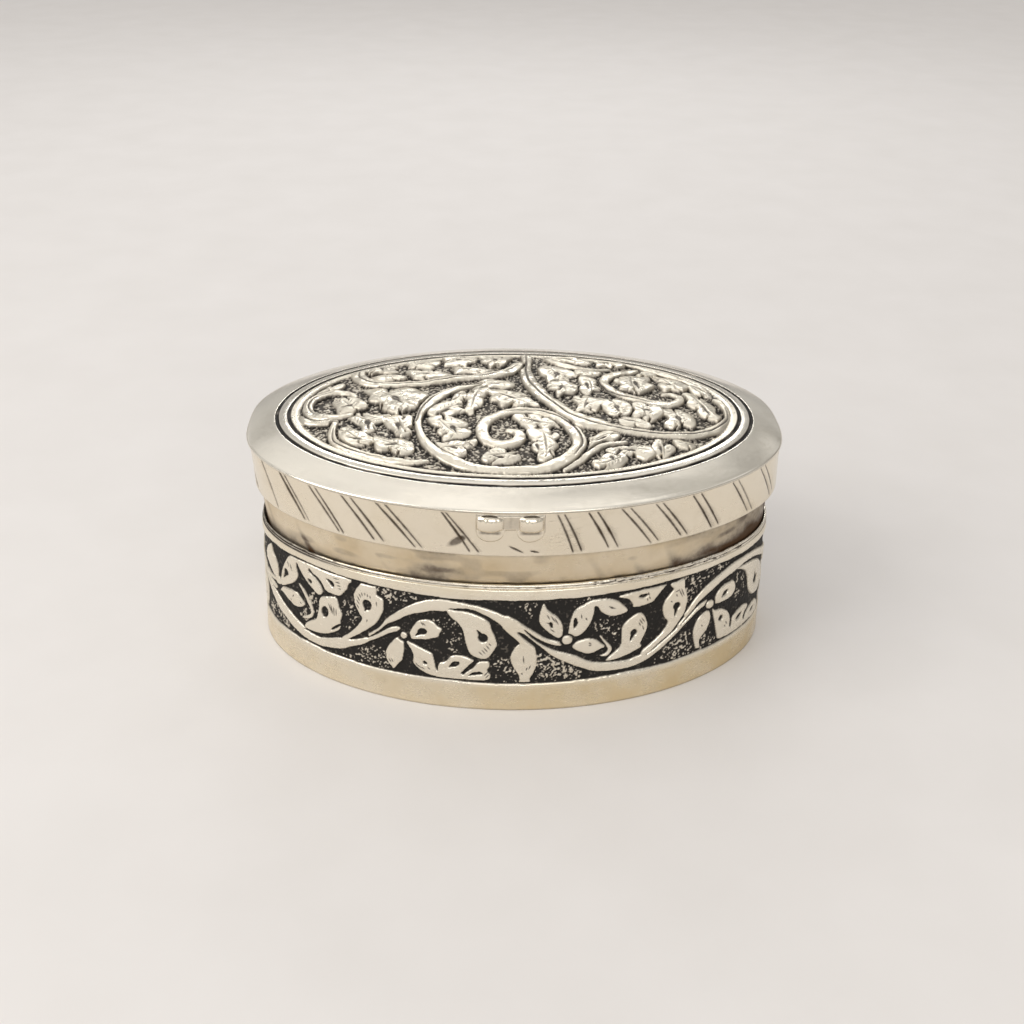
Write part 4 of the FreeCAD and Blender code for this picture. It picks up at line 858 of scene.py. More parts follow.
# ------------------------------------------------------------ wall + frieze
def build_wall():
    (front, f_metal, f_hatch, f_rough), (unit, u_metal, u_hatch, u_rough) = frieze_maps(.06)
    maps = []
    for cv, metal, hatch, rough, seed in ((front, f_metal, f_hatch, f_rough, 21),
                                          (unit, u_metal, u_hatch, u_rough, 22)):
        # beaten ground: upright flecks left bright
        g = grain(cv, seed, .2) + .55 * grain(cv, seed + 5, .42)
        fleck = ease(g, 1.15 - 1.5 * rough, 1.75 - 1.5 * rough) * ease(rough + .1, .05, .2)
        fleck *= 1 - ease(metal, .02, .6)
        ragged = grain(cv, seed + 9, .3)
        soft = blur(metal, .06, cv.step)
        edge = ease(soft + .05 * ragged, .36, .64)
        pillow = blur(edge, .38, cv.step)
        height = .2 * edge + .12 * pillow * edge + .13 * fleck - .075 * hatch * edge
        height += .012 * grain(cv, seed + 2, .5) * edge + .02 * ragged * (1 - edge)
        dark = (1 - edge) * (1 - .75 * fleck)
        dark = np.maximum(dark, .85 * hatch * edge)
        maps.append((cv, height.astype(np.float32), dark.astype(np.float32)))
    n = 1800 if FINE else 900
    s, c, d = around(n)
    outer = walk([(.8, 0.12), (1.7, 20.16)], .125 if FINE else .25)
    k = (1.7 - .8) / 20.3
    outer = [(.8 + k * z, z) for _, z in outer]
    ring = [(1.1, 0.0), (.86, .02)] + outer + [(1.72, 20.27), (1.9, 20.3), (2.1, 20.3), (2.26, 20.27),
            (2.3, 20.2)] + [(2.3, 17.0), (2.1, 12.0), (1.75, 6.0), (1.42, .9), (1.4, .04), (1.3, 0.0)]
    inset = np.array([p[0] for p in ring])
    z = np.array([p[1] for p in ring])
    S, Z = np.meshgrid(s, z, indexing="ij")
    is_out = np.zeros(len(ring), bool)
    is_out[2:2 + len(outer)] = True
    # where on the pattern each point lies
    back = np.where(S >= 0, S - 45.0, S + ROUND - 45.0)
    p = (-1.05 + back / ((ROUND - 90.0) / (2 * REPEAT + 2.1)) + 22.0) % REPEAT - 22.0
    hf = front.sample(maps[0][1], S, Z)
    df = front.sample(maps[0][2], S, Z)
    hb = unit.sample(maps[1][1], p, Z)
    db = unit.sample(maps[1][2], p, Z)
    w = ease(abs(S), 44.2, 45.4)
    relief, dark = hf * (1 - w) + hb * w, df * (1 - w) + db * w
    field = ease(Z, FIELD_LOW - .9, FIELD_LOW - .6) * (1 - ease(Z, FIELD_HIGH + .6, FIELD_HIGH + .9))
    relief = relief * field + .26 * (1 - field)
    dark = dark * field
    push = (relief - .26) * is_out
    push += is_out * (.035 * lumps(1, S, Z, 7.0, 1.0) + .012 * lumps(2, S, Z, 1.6, 1.2))
    # file marks and a rolled look to the plain edges
    push -= is_out * .05 * np.exp(-((Z - 20.16) / .16) ** 2)
    push = push + swell(c[:, None], d[:, None], Z, False)
    I = np.broadcast_to(inset, S.shape)
    a, b = RIM_A - I, RIM_B - I
    C, D = c[:, None], d[:, None]
    nx, ny = C / a, D / b
    kk = 1 / np.hypot(nx, ny)
    X, Y = a * C + push * nx * kk, b * D + push * ny * kk
    lip = .05 * lumps(3, S, Z * 0, 5.0) * ease(Z, 19.6, 20.3)
    V = np.stack([X, Y, Z + lip - .05 * ease(Z, 19.6, 20.3)], -1).reshape(-1, 3)
    dark = dark * is_out
    # painted shadow: the foot of the wall is darkened where it stands on the floor
    dark = np.maximum(dark, .45 * ease(-Z, -.5, 0) * is_out)
    # painted shade: the wall's top beside the collar is darkened at the left and right ends of the front, merging with
    # the collar's painted shade
    top = ease(Z, 20.1, 20.2) * (1 - is_out)
    dark = np.maximum(dark, top * ahead(S) * (.8 * ease(-S, 14, 34) + .6 * ease(S, 32, 46)))
    # tarnish that warms the plain band below the frieze
    warm = (1 - ease(Z, 3.4, 5.2)) * (.55 + .45 * ease(S, -30, 35) * ahead(S)) + .25 * ease(Z, 18.6, 19.6)
    warm = np.clip(warm + .18 * lumps(4, S, Z, 9.0), 0, 1)
    inner = 1.0 - is_out
    return make("wall_chased", V, torus_quads(n, len(ring)), [], "base_wall", "base", "chased_silver",
                {"patina": dark, "warm": np.broadcast_to(warm, S.shape), "inner": np.broadcast_to(inner, S.shape)})


# ------------------------------------------------------------------- collar
def build_collar():
    n = 900 if FINE else 450
    s, c, d = around(n)
    out = walk([(2.32, 17.2), (2.32, 20.3), (1.45, 26.0), (1.45, 33.4)], .3)
    ring = out + [(1.47, 33.55), (1.56, 33.66), (1.75, 33.7), (1.92, 33.66), (2.02, 33.55), (2.05, 33.4)]
    ring += walk([(2.05, 33.3), (2.05, 26.0), (2.92, 20.3), (2.92, 17.3)], .45) + [(2.88, 17.2), (2.6, 17.16)]
    inset = np.array([p[0] for p in ring])
    z = np.array([p[1] for p in ring])
    S, Z = np.meshgrid(s, z, indexing="ij")
    is_out = (np.arange(len(ring)) < len(out))[None, :]
    side = np.where(is_out, 1.0, -1.0)
    push = .05 * lumps(31, S, Z * 0 + 4, 11.0) + .03 * lumps(32, S, Z, 4.5, .8)
    push -= .03 * abs(lumps(33, S, Z, 1.3, .6)) * is_out
    I = np.broadcast_to(inset, S.shape)
    a, b = RIM_A - I, RIM_B - I
    C, D = c[:, None], d[:, None]
    nx, ny = C / a, D / b
    kk = 1 / np.hypot(nx, ny)
    push = push - .05 + swell(C, D, Z, False)
    V = np.stack([a * C + push * nx * kk, b * D + push * ny * kk, Z], -1).reshape(-1, 3)
    # painted shade: darker near the collar's foot, most towards both ends, and a band of painted shadow just below the
    # lid skirt; streak is tarnish
    low = 1 - ease(Z, 20.6, 23.4)
    streak = ease(lumps(34, S + .6 * Z, Z * .3, 1.9, 1.2) + .6 * lumps(35, S, Z, 6.0), .1, 1.1)
    side_shade = ease(abs(S), 18, 40)
    dark = np.clip(.62 * low * (.4 + .6 * side_shade) + .5 * streak * (1 - ease(Z, 22, 27)) + .35 * ease(Z, 25.2, 26.4) * (1 - .8 * ease(Z, 26.6, 28.5)), 0, 1)
    smear = lumps(37, S, Z, 3.2, .35) + .7 * lumps(38, S, Z, 9.0, .5)
    # painted shade on the right end of the front and a little on the left end; smear is tarnish
    dark = np.clip(dark + ahead(S) * .58 * ease(S, 14, 42) * (1 - .8 * ease(Z, 26.2, 28.5)) + ahead(S) * .10 * ease(-S, 25, 44) + .30 * ease(smear, .2, 1.0) * (1 - .85 * ease(Z, 26.2, 27.6)), 0, 1)
    dark = dark * np.where(is_out, 1, .25)
    warm = np.clip(.75 + .3 * lumps(36, S, Z, 5.0, .7), 0, 1) * np.where(is_out, 1, .55)
    return make("collar_sheet", V, torus_quads(n, len(ring)), [], "neck_collar", "base", "toned_silver",
                {"patina": dark, "warm": warm, "inner": np.broadcast_to(~is_out, S.shape).astype(float)})


# ---------------------------------------------------------------- seat wire
def build_wire():
    n, m = (2000, 20) if FINE else (1000, 14)
    s, c, d = around(n)
    ang = np.arange(m) * 2 * math.pi / m
    S, A = np.meshgrid(s, ang, indexing="ij")
    C, D = c[:, None], d[:, None]
    verts, quads, dark, warm = [], [], [], []
    lump_at = ease(S, 4, 12) * (1 - ease(S, 34, 40))
    for k, (ins, z0, r) in enumerate(((1.98, 20.44, .22), (1.96, 20.80, .21))):
        rough = lumps(51 + k, S, A * .8, .9, .8)
        fat = lumps(61 + k, S, 0 * S, 1.5) * (.25 + .75 * lump_at)
        tiny = lumps(55 + k, S, A * 1.3, .42, .8)
        rr = r * (1 + .06 * rough + .24 * fat + .12 * tiny * (.3 + .7 * lump_at)) * (1 - .3 * ease(-S, 8, 36) * ahead(S) + .18 * lump_at)
        flat = 1 - .1 * ease(lumps(71 + k, S, 0 * S, 1.1), .1, .8)
        ca, sa = np.cos(A), np.sin(A)
        out = rr * ca * flat + swell(C, D, z0 + 0 * A, False)
        up = rr * sa + .035 * lumps(81 + k, S, 0 * S, 2.6)
        a, b = RIM_A - ins, RIM_B - ins
        nx, ny = C / a, D / b
        kk = 1 / np.hypot(nx, ny)
        V = np.stack([a * C + out * nx * kk, b * D + out * ny * kk, z0 + up], -1).reshape(-1, 3)
        quads.append(torus_quads(n, m, base=n * m * k))
        verts.append(V)
        # painted shade: the crease between the two beads, the side facing the collar and the left end of the front are
        # darkened; the rough, fat and tiny lumps darken as solder
        cleft_shade = np.clip(-sa if k else sa, 0, 1) ** 2
        dk = .95 * cleft_shade ** .7 * ease(ca + .5, 0, .4) + .6 * ease(-ca, -.1, .5) + .45 * ease(rough + fat, .3, 1.1)
        dk = dk + .7 * ease(tiny * lump_at, .35, .8) + (.55 if k else .3) * ease(-S, 14, 36) * ahead(S)
        dark.append(np.clip(dk, 0, 1).ravel())
        warm.append(np.full(S.size, .45))
    return make("bead_wire", np.concatenate(verts), np.concatenate(quads), [], "seat_wire", "base", "solder_silver",
                {"patina": np.concatenate(dark), "warm": np.concatenate(warm), "inner": np.zeros(2 * n * m)})


# -------------------------------------------------------------------- floor
def build_floor():
    n = 360
    s, c, d = around(n)
    prof = [(0, .8)] + [(f, .8) for f in np.linspace(.03, .985, 60)] + [(.997, .78), (1.0, .72), (1.0, .08), (.997, .02), (.985, 0.0)]
    prof += [(f, 0.0) for f in np.linspace(.95, .03, 40)]
    verts = [[0, 0, .8]]
    rows = []
    rng = np.random.default_rng(3)
    dents = [(rng.uniform(-36, 36), rng.uniform(-24, 24), rng.uniform(1.2, 2.8), rng.uniform(-.02, .02)) for _ in range(260)]
    for f, z in prof[1:]:
        k = 1 / np.hypot(c / 38.5, d / 25.7)
        out = swell(c, d, .4 + 0 * c, False) * f ** 6
        x, y = 38.5 * f * c + out * c / 38.5 * k, 25.7 * f * d + out * d / 25.7 * k
        h = np.zeros(n)
        if f < .97:
            for dx, dy, r, a in dents:
                h += a * np.exp(-((x - dx) ** 2 + (y - dy) ** 2) / r ** 2)
        rows.append(np.stack([x, y, np.clip(z + h - (.03 if z > .5 else -.03) * (f < .985), 0, .82)], -1))
    verts = np.concatenate([np.array(verts)] + rows + [np.array([[0, 0, .03]])])
    m = len(rows)
    quads = []
    i = np.arange(n)
    for r in range(m - 1):
        a, b = 1 + r * n, 1 + (r + 1) * n
        quads.append(np.stack([a + i, b + i, b + (i + 1) % n, a + (i + 1) % n], -1))
    last = 1 + (m - 1) * n
    top = np.stack([np.zeros(n, int), 1 + i, 1 + (i + 1) % n], -1)
    bot = np.stack([np.full(n, len(verts) - 1), last + (i + 1) % n, last + i], -1)
    rad = np.hypot(verts[:, 0] / 38.5, verts[:, 1] / 25.7)
    dark = np.clip(.55 * ease(rad, .9, 1.0), 0, 1)
    return make("floor_plate", verts, np.concatenate(quads), np.concatenate([top, bot]), "base_floor", "base",
                "plain_silver", {"patina": dark, "warm": np.full(len(verts), .4), "inner": np.zeros(len(verts))})


# ------------------------------------------------------------------ lid top
def build_lid_top():
    cv, body, lift, cut, tool, edge = panel_maps(.07)
    g = grain(cv, 41, .24)
    pips = ease(g, .1, .9)
    soft = blur(body, .08, cv.step)
    up = ease(soft + .08 * grain(cv, 44, .6), .32, .66)
    pillow = blur(up, .5, cv.step) * up
    ditch = np.clip(blur(up, .45, cv.step) * (1 - up) * 2.2, 0, 1)
    height = .36 * up + .36 * pillow ** 1.2 + lift * up
    folds = grain(cv, 45, 1.7)
    height += .055 * folds * up
    height += (.16 * pips - .06 * ditch) * (1 - up) * edge
    height -= .17 * blur(np.clip(cut, 0, 1), .06, cv.step) * up + .085 * blur(np.clip(tool, 0, 1), .05, cv.step) * up
    height += .02 * grain(cv, 42, .8) + .01 * grain(cv, 43, .3)
    dark = (1 - up) * (.84 - .50 * pips) + .22 * ditch
    dark = np.maximum(dark, .85 * ease(soft, .04, .3) * (1 - ease(soft, .42, .6)))
    # painted shade: concave parts of the raised leaves are darkened
    hollow_shade = np.clip(blur(up, .5, cv.step) - blur(up, 1.5, cv.step), -1, 1)
    dark = np.maximum(dark, .30 * ease(-hollow_shade, -.12, .12) * up)
    dark = np.maximum(dark, .78 * np.clip(cut, 0, 1) * up)
    dark = np.maximum(dark, .62 * np.clip(tool, 0, 1) * up)
    dark = np.maximum(dark, .5 * ease(soft, .12, .4) * (1 - ease(soft, .5, .85)))
    dark = np.maximum(dark, .14 + .08 * ease(folds, .2, 1.4) - .06 * up * ease(pillow, .6, 1)) * edge
    height = (height - .32) * edge
    nx, ny = (560, 360) if FINE else (280, 180)
    u, v = np.meshgrid(np.linspace(-1, 1, nx), np.linspace(-1, 1, ny))
    PX = u * np.sqrt(1 - v * v / 2) * PANEL_A
    PY = v * np.sqrt(1 - u * u / 2) * PANEL_B
    rho2 = (PX / PANEL_A) ** 2 + (PY / PANEL_B) ** 2
    PZ = 35.6 + 1.4 * (1 - rho2) + cv.sample(height, PX, PY)
    verts = [np.stack([PX, PY, PZ], -1).reshape(-1, 3)]
    dk = [np.clip(cv.sample(dark, PX, PY), 0, 1).ravel()]
    idx = np.arange(nx * ny).reshape(ny, nx)
    quads = [np.stack([idx[:-1, :-1], idx[:-1, 1:], idx[1:, 1:], idx[1:, :-1]], -1).reshape(-1, 4)]
    border = np.concatenate([idx[0, :-1], idx[:-1, -1], idx[-1, ::-1][:-1], idx[::-1, 0][:-1]])
    bx, by = PX.ravel()[border] / PANEL_A, PY.ravel()[border] / PANEL_B
    k = np.hypot(bx, by)
    bx, by = bx / k, by / k
    n = len(border)
    ang = np.arctan2(by, bx)
    S = np.interp(np.where(ang < -math.pi / 2, ang + 2 * math.pi, ang), ARC_T, ARC_S)
    prev = border
    total = nx * ny
    rows = []      # inset, z, patina, is ring wobble
    def slope(i, i0, z0, i1, z1):
        return z0 + (z1 - z0) * (i - i0) / (i1 - i0)
    rows.append((6.56, slope(6.56, 6.6, 35.6, 4.2, 35.3), .25))
    for ins, dz, p in ((6.5, -.04, .7), (6.46, -.12, 1), (6.33, -.22, 1), (6.16, -.22, 1), (6.0, -.12, 1), (5.96, -.03, .7), (5.9, .05, .05)):
        rows.append((ins, slope(ins, 6.6, 35.6, 4.2, 35.3) + dz, p))
    for ins in np.linspace(5.82, 4.86, 8):
        rows.append((ins, slope(ins, 6.6, 35.6, 4.2, 35.3) + .05 + .03 * math.sin((ins - 4.8) / 1.04 * math.pi), 0))
    for ins, dz, p in ((4.8, .05, .05), (4.74, -.03, .7), (4.7, -.12, 1), (4.54, -.22, 1), (4.38, -.22, 1), (4.23, -.12, 1), (4.19, -.03, .7), (4.12, .03, .05)):
        rows.append((ins, slope(ins, 6.6, 35.6, 4.2, 35.3) + dz, p))
    for ins in np.linspace(4.0, .5, 22):
        t = (4.2 - ins) / 4.2
        rows.append((ins, slope(ins, 4.2, 35.3, 0, 33.9) + .10 * math.sin(t * math.pi), 0))
    # the rim's rolled edge and its underside; the third value paints a shadow line below the overhanging rim
    rows += [(.3, 34.02, 0), (.14, 33.95, 0), (.04, 33.86, .05), (0.0, 33.76, .1), (0.0, 33.66, .35),
             (.06, 33.56, .8), (.2, 33.51, .95), (.45, 33.5, .8), (.95, 33.5, .5), (2.2, 33.92, .3),
             (4.2, 34.7, .2), (6.6, 35.0, .15)]
    for ins, z, p in rows:
        c, d = bx, by
        a, b = RIM_A - ins, RIM_B - ins
        nxn, nyn = c / a, d / b
        kk = 1 / np.hypot(nxn, nyn)
        wob = .05 * lumps(91, S, 0 * S, 6.0) + .022 * lumps(92, S, 0 * S, 1.7)
        ringy = 3.9 < ins < 6.7
        out = (wob * 1.2 if ringy else (-.03 + .03 * lumps(93, S, 0 * S, 3.0)) * (ins < .4))
        out = out + swell(c, d, z, True) * float(np.interp(ins, [0, 6.6], [1.0, 0.0]))
        dent = 0.0
        if .5 <= ins <= 4.0:
            dent = .035 * lumps(94, S, 0 * S + ins * 2, 5.0) * math.sin((4.2 - ins) / 4.2 * math.pi)
        Zr = z + dent + 0 * c
        verts.append(np.stack([a * c + out * nxn * kk, b * d + out * nyn * kk, Zr], -1))
        worn = 1.0 if p < .6 else np.clip(.98 + .22 * lumps(95, S, 0 * S + ins, 2.2), .35, 1)
        dk.append(np.clip(p * worn + 0 * c, 0, 1))
        row = total + np.arange(n)
        total += n
        quads.append(np.stack([prev, row, np.roll(row, -1), np.roll(prev, -1)], -1))
        prev = row
    # the underside of the panel, smooth, drawn in ring by ring to its crown
    for f in np.linspace(.93, .07, 16):
        z = 35.0 + 1.4 * (1 - f * f)
        verts.append(np.stack([PANEL_A * f * bx, PANEL_B * f * by, z + 0 * bx + .03 * lumps(96, S, 0 * S + f * 9, 6.0)], -1))
        dk.append(np.full(n, .12))
        row = total + np.arange(n)
        total += n
        quads.append(np.stack([prev, row, np.roll(row, -1), np.roll(prev, -1)], -1))
        prev = row
    verts.append(np.array([[0, 0, 36.4]]))
    dk.append(np.array([.1]))
    tris = np.stack([prev, np.full(n, total), np.roll(prev, -1)], -1)
    V = np.concatenate(verts)
    return make("lid_plate", V, np.concatenate(quads), tris, "lid_top", "lid", "chased_silver",
                {"patina": np.concatenate(dk), "warm": np.full(len(V), .10), "inner": np.zeros(len(V)),
                 "polish": (np.arange(len(V)) >= nx * ny).astype(float)})


# ---------------------------------------------------------------- lid skirt
FLUTES = [(-39.5, -36.5, .6), (-35.2, -31, 1), (-34.2, -30.2, .8), (-29.7, -25.2, 1), (-28.6, -24.6, 1),
          (-24.4, -19.8, 1), (-23, -18.4, 1), (-19.3, -14, 1.1), (-18, -13, 1), (-10.3, -6.5, 1.2), (-9.8, -5.3, 1),
          (4.9, 7.3, .9), (5.8, 8.5, .9), (9, 12.3, 1), (10.2, 13.6, 1), (13.5, 18.3, 1.1), (14.7, 19.5, 1),
          (18.3, 23, 1.1), (19.3, 24, 1), (24, 28, 1), (25.3, 29.3, 1), (30.8, 35, 1), (31.9, 36.0, .8),
          (36.8, 41, 1), (38.0, 42.2, .9)]


def build_skirt():
    rng = np.random.default_rng(17)
    flutes = list(FLUTES)
    x = 42.6
    while x < ROUND - 45.5:
        g = x + rng.uniform(-.5, .5)
        lean = rng.uniform(4.0, 4.9)
        flutes += [(g, g + lean, 1), (g + 1.15, g + lean + 1.1, .9)]
        x += 5.3
    n = 1900 if FINE else 950
    s, c, d = around(n)
    out = walk([(.9, 26.42), (.4, 33.5)], .14 if FINE else .28)
    ring = [(1.2, 26.3), (1.02, 26.31), (.93, 26.35)] + out + [(.4, 33.5), (.6, 33.5), (.85, 33.5)]
    ring += walk([(.85, 33.3), (1.35, 26.45)], 1.2) + [(1.34, 26.34)]
    inset = np.array([p[0] for p in ring])
    z = np.array([p[1] for p in ring])
    S, Z = np.meshgrid(s, z, indexing="ij")
    is_out = np.zeros(len(ring), bool)
    is_out[2:3 + len(out)] = True
    push = np.zeros(S.shape)
    dark = np.zeros(S.shape)
    t = np.clip((33.2 - Z) / 6.5, 0, 1)
    near_catch = ease(S, -6.6, -6.0) * (1 - ease(S, 3.6, 4.2)) * ease(Z, 28.2, 28.7)
    for k, (st, sb, deep) in enumerate(flutes):
        centre = st + (sb - st) * t + .12 * np.sin(t * math.pi)
        for turn in (0.0, -ROUND):
            gap = S - (centre + turn)
            if abs(gap).min() > 3:
                continue
            end = .25 * math.sin(k * 2.3)
            fade = ease(Z, 26.35 + abs(end), 26.9 + abs(end)) * (1 - ease(Z, 32.9, 33.35))
            fade *= .88 + .12 * np.sin(t * math.pi + k)
            wide = .15 + .08 * np.sin(t * math.pi) ** 2
            v = np.exp(-(gap / wide) ** 2) * fade * deep
            push -= .12 * v
            dark = np.maximum(dark, .84 * np.clip(v * 1.3, 0, 1))
            wedge = ease(gap, .0, .08) * (1 - ease(gap, .3, .95)) * fade * deep
            dark = np.maximum(dark, (.16 + .16 * math.sin(k * 1.7) ** 2) * wedge * (.5 + .5 * t))
            # the graver also leaves a facet on the lower right of each cut
            push -= .105 * deep * fade * ease(gap, 0, .1) * (1 - ease(gap, .2, 1.05))
    facet = np.exp(-(((S + 8.2) - (28.6 - Z) * -.9) / 1.1) ** 2) * np.exp(-((Z - 28.6) / 1.2) ** 2)
    push -= .08 * facet
    dark = np.maximum(dark, .72 * ease(facet, .25, .8))
    for cs, cz, ws, wz, fall in ((-.4, 27.5, 1.25, .27, .55), (2.1, 27.1, .8, .22, .25)):
        nick = np.exp(-((S - cs) / ws) ** 2 - ((Z - cz + fall * (S - cs)) / wz) ** 2)
        push -= .1 * nick
        dark = np.maximum(dark, .85 * ease(nick, .3, .75))
    for i in range(26):     # file scratches to the right of the catch
        s0, z0 = rng.uniform(4.0, 8.2), rng.uniform(27.4, 32.8)
        lean = rng.uniform(-.3, .6)
        L = rng.uniform(.5, 1.6)
        line = np.exp(-((Z - z0 - lean * (S - s0)) / .06) ** 2) * np.exp(-((S - s0) / L) ** 2)
        push -= .03 * line
        dark = np.maximum(dark, .4 * line)
    push *= is_out * (1 - near_catch)
    dark *= is_out * (1 - .7 * near_catch)
    push += is_out * (1 - near_catch) * (.02 * lumps(101, S, Z, 6.0) + .012 * lumps(102, S, Z, 1.5))
    push -= .02 * is_out * (1 - near_catch)
    dark = np.maximum(dark, .35 * (1 - ease(Z, 26.3, 26.6)) * is_out)
    # painted shadow: the top of the skirt just below the lid's overhanging rim is darkened
    dark = np.maximum(dark, .75 * ease(Z, 33.25, 33.48) * is_out)
    dark = np.clip(dark + .12 * ease(lumps(103, S, Z, 2.6), .2, .9) * is_out, 0, 1)
    dark = np.maximum(dark, .2 * (~is_out))
    push = push + swell(c[:, None], d[:, None], Z, True)
    I = np.broadcast_to(inset, S.shape)
    a, b = RIM_A - I, RIM_B - I
    C, D = c[:, None], d[:, None]
    nx, ny = C / a, D / b
    kk = 1 / np.hypot(nx, ny)
    V = np.stack([a * C + push * nx * kk, b * D + push * ny * kk, Z], -1).reshape(-1, 3)
    return make("skirt_band", V, torus_quads(n, len(ring)), [], "lid_skirt", "lid", "bright_cut_silver",
                {"patina": dark, "warm": np.clip(.25 + .15 * lumps(104, S, Z, 6.0), 0, 1),
                 "inner": np.broadcast_to(~is_out, S.shape).astype(float)})


# -------------------------------------------------------------- thumb catch
def build_catch():
    (x_lo, x_hi), (low, high) = span("thumb_catch", 0), span("thumb_catch", 2)
    shift, half, gap = (x_lo + x_hi) / 2, (x_hi - x_lo) / 2, .8
    lobe = (half - gap) / 2
    mid = gap + lobe
    knee = low + lobe
    nu, nv = (181, 101) if FINE else (91, 51)
    x = np.linspace(-half, half, nu)
    off = abs(abs(x) - mid)
    foot = np.where(abs(x) < gap, knee, knee - np.sqrt(np.clip(lobe ** 2 - off ** 2, 0, None)))
    foot = np.convolve(np.pad(foot, 2, mode="edge"), [.1, .2, .4, .2, .1], "valid")
    foot += .04 * np.sin(x * 2.1 + .6)
    v = np.linspace(0, 1, nv)
    X, W = np.meshgrid(x, v, indexing="ij")
    Z = foot[:, None] + (high - foot[:, None]) * W
    def wall_y(xx, zz, out):
        ins = .9 + (.4 - .9) * (zz - 26.3) / 7.2
        a, b = RIM_A - ins, RIM_B - ins
        return -b * np.sqrt(1 - ((xx + shift) / a) ** 2) - out
    edge = np.minimum(np.minimum((X + half), (half - X)), np.minimum((Z - foot[:, None]), (high - Z)) * 1.0)
    plate = .2 * ease(edge, 0, .3)
    rng = np.random.default_rng(8)
    h = plate.copy()
    ends = np.zeros(h.shape)
    for sgn in (-1, 1):
        cx = sgn * 2.75 + (-.1 if sgn < 0 else .05)
        wide = 1.95 if sgn < 0 else 1.65
        end = np.sqrt(np.clip(1 - (abs(X - cx) / wide) ** 2.0, 0, 1))
        ends = np.maximum(ends, end)
        dz = Z - 31.75
        bulge = np.sqrt(np.clip(1.36 ** 2 - dz ** 2 - .35 * (X - cx) ** 2, 0, None)) * .8 - .1
        bulge = np.clip(bulge, 0, None) * end ** .6
        h = np.maximum(h, plate + .76 * bulge)
        # each lobe is dished below its knuckle
        h += .06 * np.exp(-((X - cx) / 1.3) ** 2 - ((Z - 29.7) / .6) ** 2) * ease(edge, .05, .5)
    h += .015 * np.sin(X * 9 + 2 * Z) * ease(edge, 0, .4)
    h = np.clip(h, 0.0, 1.0)
    Yf = wall_y(X, Z, h + .005)
    Yb = wall_y(X, Z, -.0)
    front = np.stack([X + shift, Yf, Z], -1).reshape(-1, 3)
    rear = np.stack([X + shift, Yb, Z], -1).reshape(-1, 3)
    idx = np.arange(nu * nv).reshape(nu, nv)
    qf = np.stack([idx[:-1, :-1], idx[1:, :-1], idx[1:, 1:], idx[:-1, 1:]], -1).reshape(-1, 4)
    qb = qf[:, ::-1] + nu * nv
    loop = np.concatenate([idx[:-1, 0], idx[-1, :-1], idx[::-1, -1][:-1], idx[0, ::-1][:-1]])
    nxt = np.roll(loop, -1)
    qs = np.stack([loop, loop + nu * nv, nxt + nu * nv, nxt], -1)
    slope_z = np.gradient(h, axis=1)
    # painted shade: a shadow below the knuckles, shade between them and at their ends, and a shadow below the lid's rim
    # at the top; the plate's rim is darkened along its joint
    knuckle_shadow = ease(Z, 29.85, 30.25) * (1 - ease(Z, 30.45, 30.8))
    dk = .6 * knuckle_shadow * ease(1 - abs(abs(X) - 2.75) / 1.9, 0, .5) + .42 * (1 - ease(edge, .05, .24))
    dk = np.maximum(dk, .42 * np.exp(-(X / .6) ** 2) * ease(Z, 30.4, 31.4))
    dk = np.maximum(dk, .34 * ease(1 - ends, .2, .9) * ease(Z, 30.4, 31.2))
    dk = np.maximum(dk, .45 * ease(Z, 32.6, 33.15))
    dk = np.clip(dk, 0, 1).ravel()
    V = np.concatenate([front, rear])
    return make("catch_lobes", V, np.concatenate([qf, qb, qs]), [], "thumb_catch", "lid", "bright_cut_silver",
                {"patina": np.concatenate([dk, dk]), "warm": np.full(len(V), .2), "inner": np.zeros(len(V))})


# ---------------------------------------------------------------- materials
def node(nt, kind, **inputs):
    nd = nt.nodes.new(kind)
    for k, val in inputs.items():
        if k.startswith("_"):
            setattr(nd, k[1:], val)
        else:
            nd.inputs[k.replace("__", " ")].default_value = val
    return nd


def mixer(nt, fac, a, b, blend="MIX"):
    m = nt.nodes.new("ShaderNodeMix")
    m.data_type = "RGBA"
    m.blend_type = blend
    for sock, val in ((m.inputs[0], fac), (m.inputs[6], a), (m.inputs[7], b)):
        if hasattr(val, "links"):
            nt.links.new(val, sock)
        elif isinstance(val, tuple):
            sock.default_value = val
        else:
            sock.default_value = val
    return m.outputs[2]


def calc(nt, op, a, b=None, clamp=False):
    m = nt.nodes.new("ShaderNodeMath")
    m.operation = op
    m.use_clamp = clamp
    for sock, val in zip(m.inputs, (a, b)):
        if val is None:
            continue
        if hasattr(val, "links"):
            nt.links.new(val, sock)
        else:
            sock.default_value = val
    return m.outputs[0]


def band(nt, val, lo, hi, a=0.0, b=1.0):
    r = nt.nodes.new("ShaderNodeMapRange")
    r.clamp = True
    nt.links.new(val, r.inputs[0])
    r.inputs[1].default_value, r.inputs[2].default_value = lo, hi
    r.inputs[3].default_value, r.inputs[4].default_value = a, b
    return r.outputs[0]


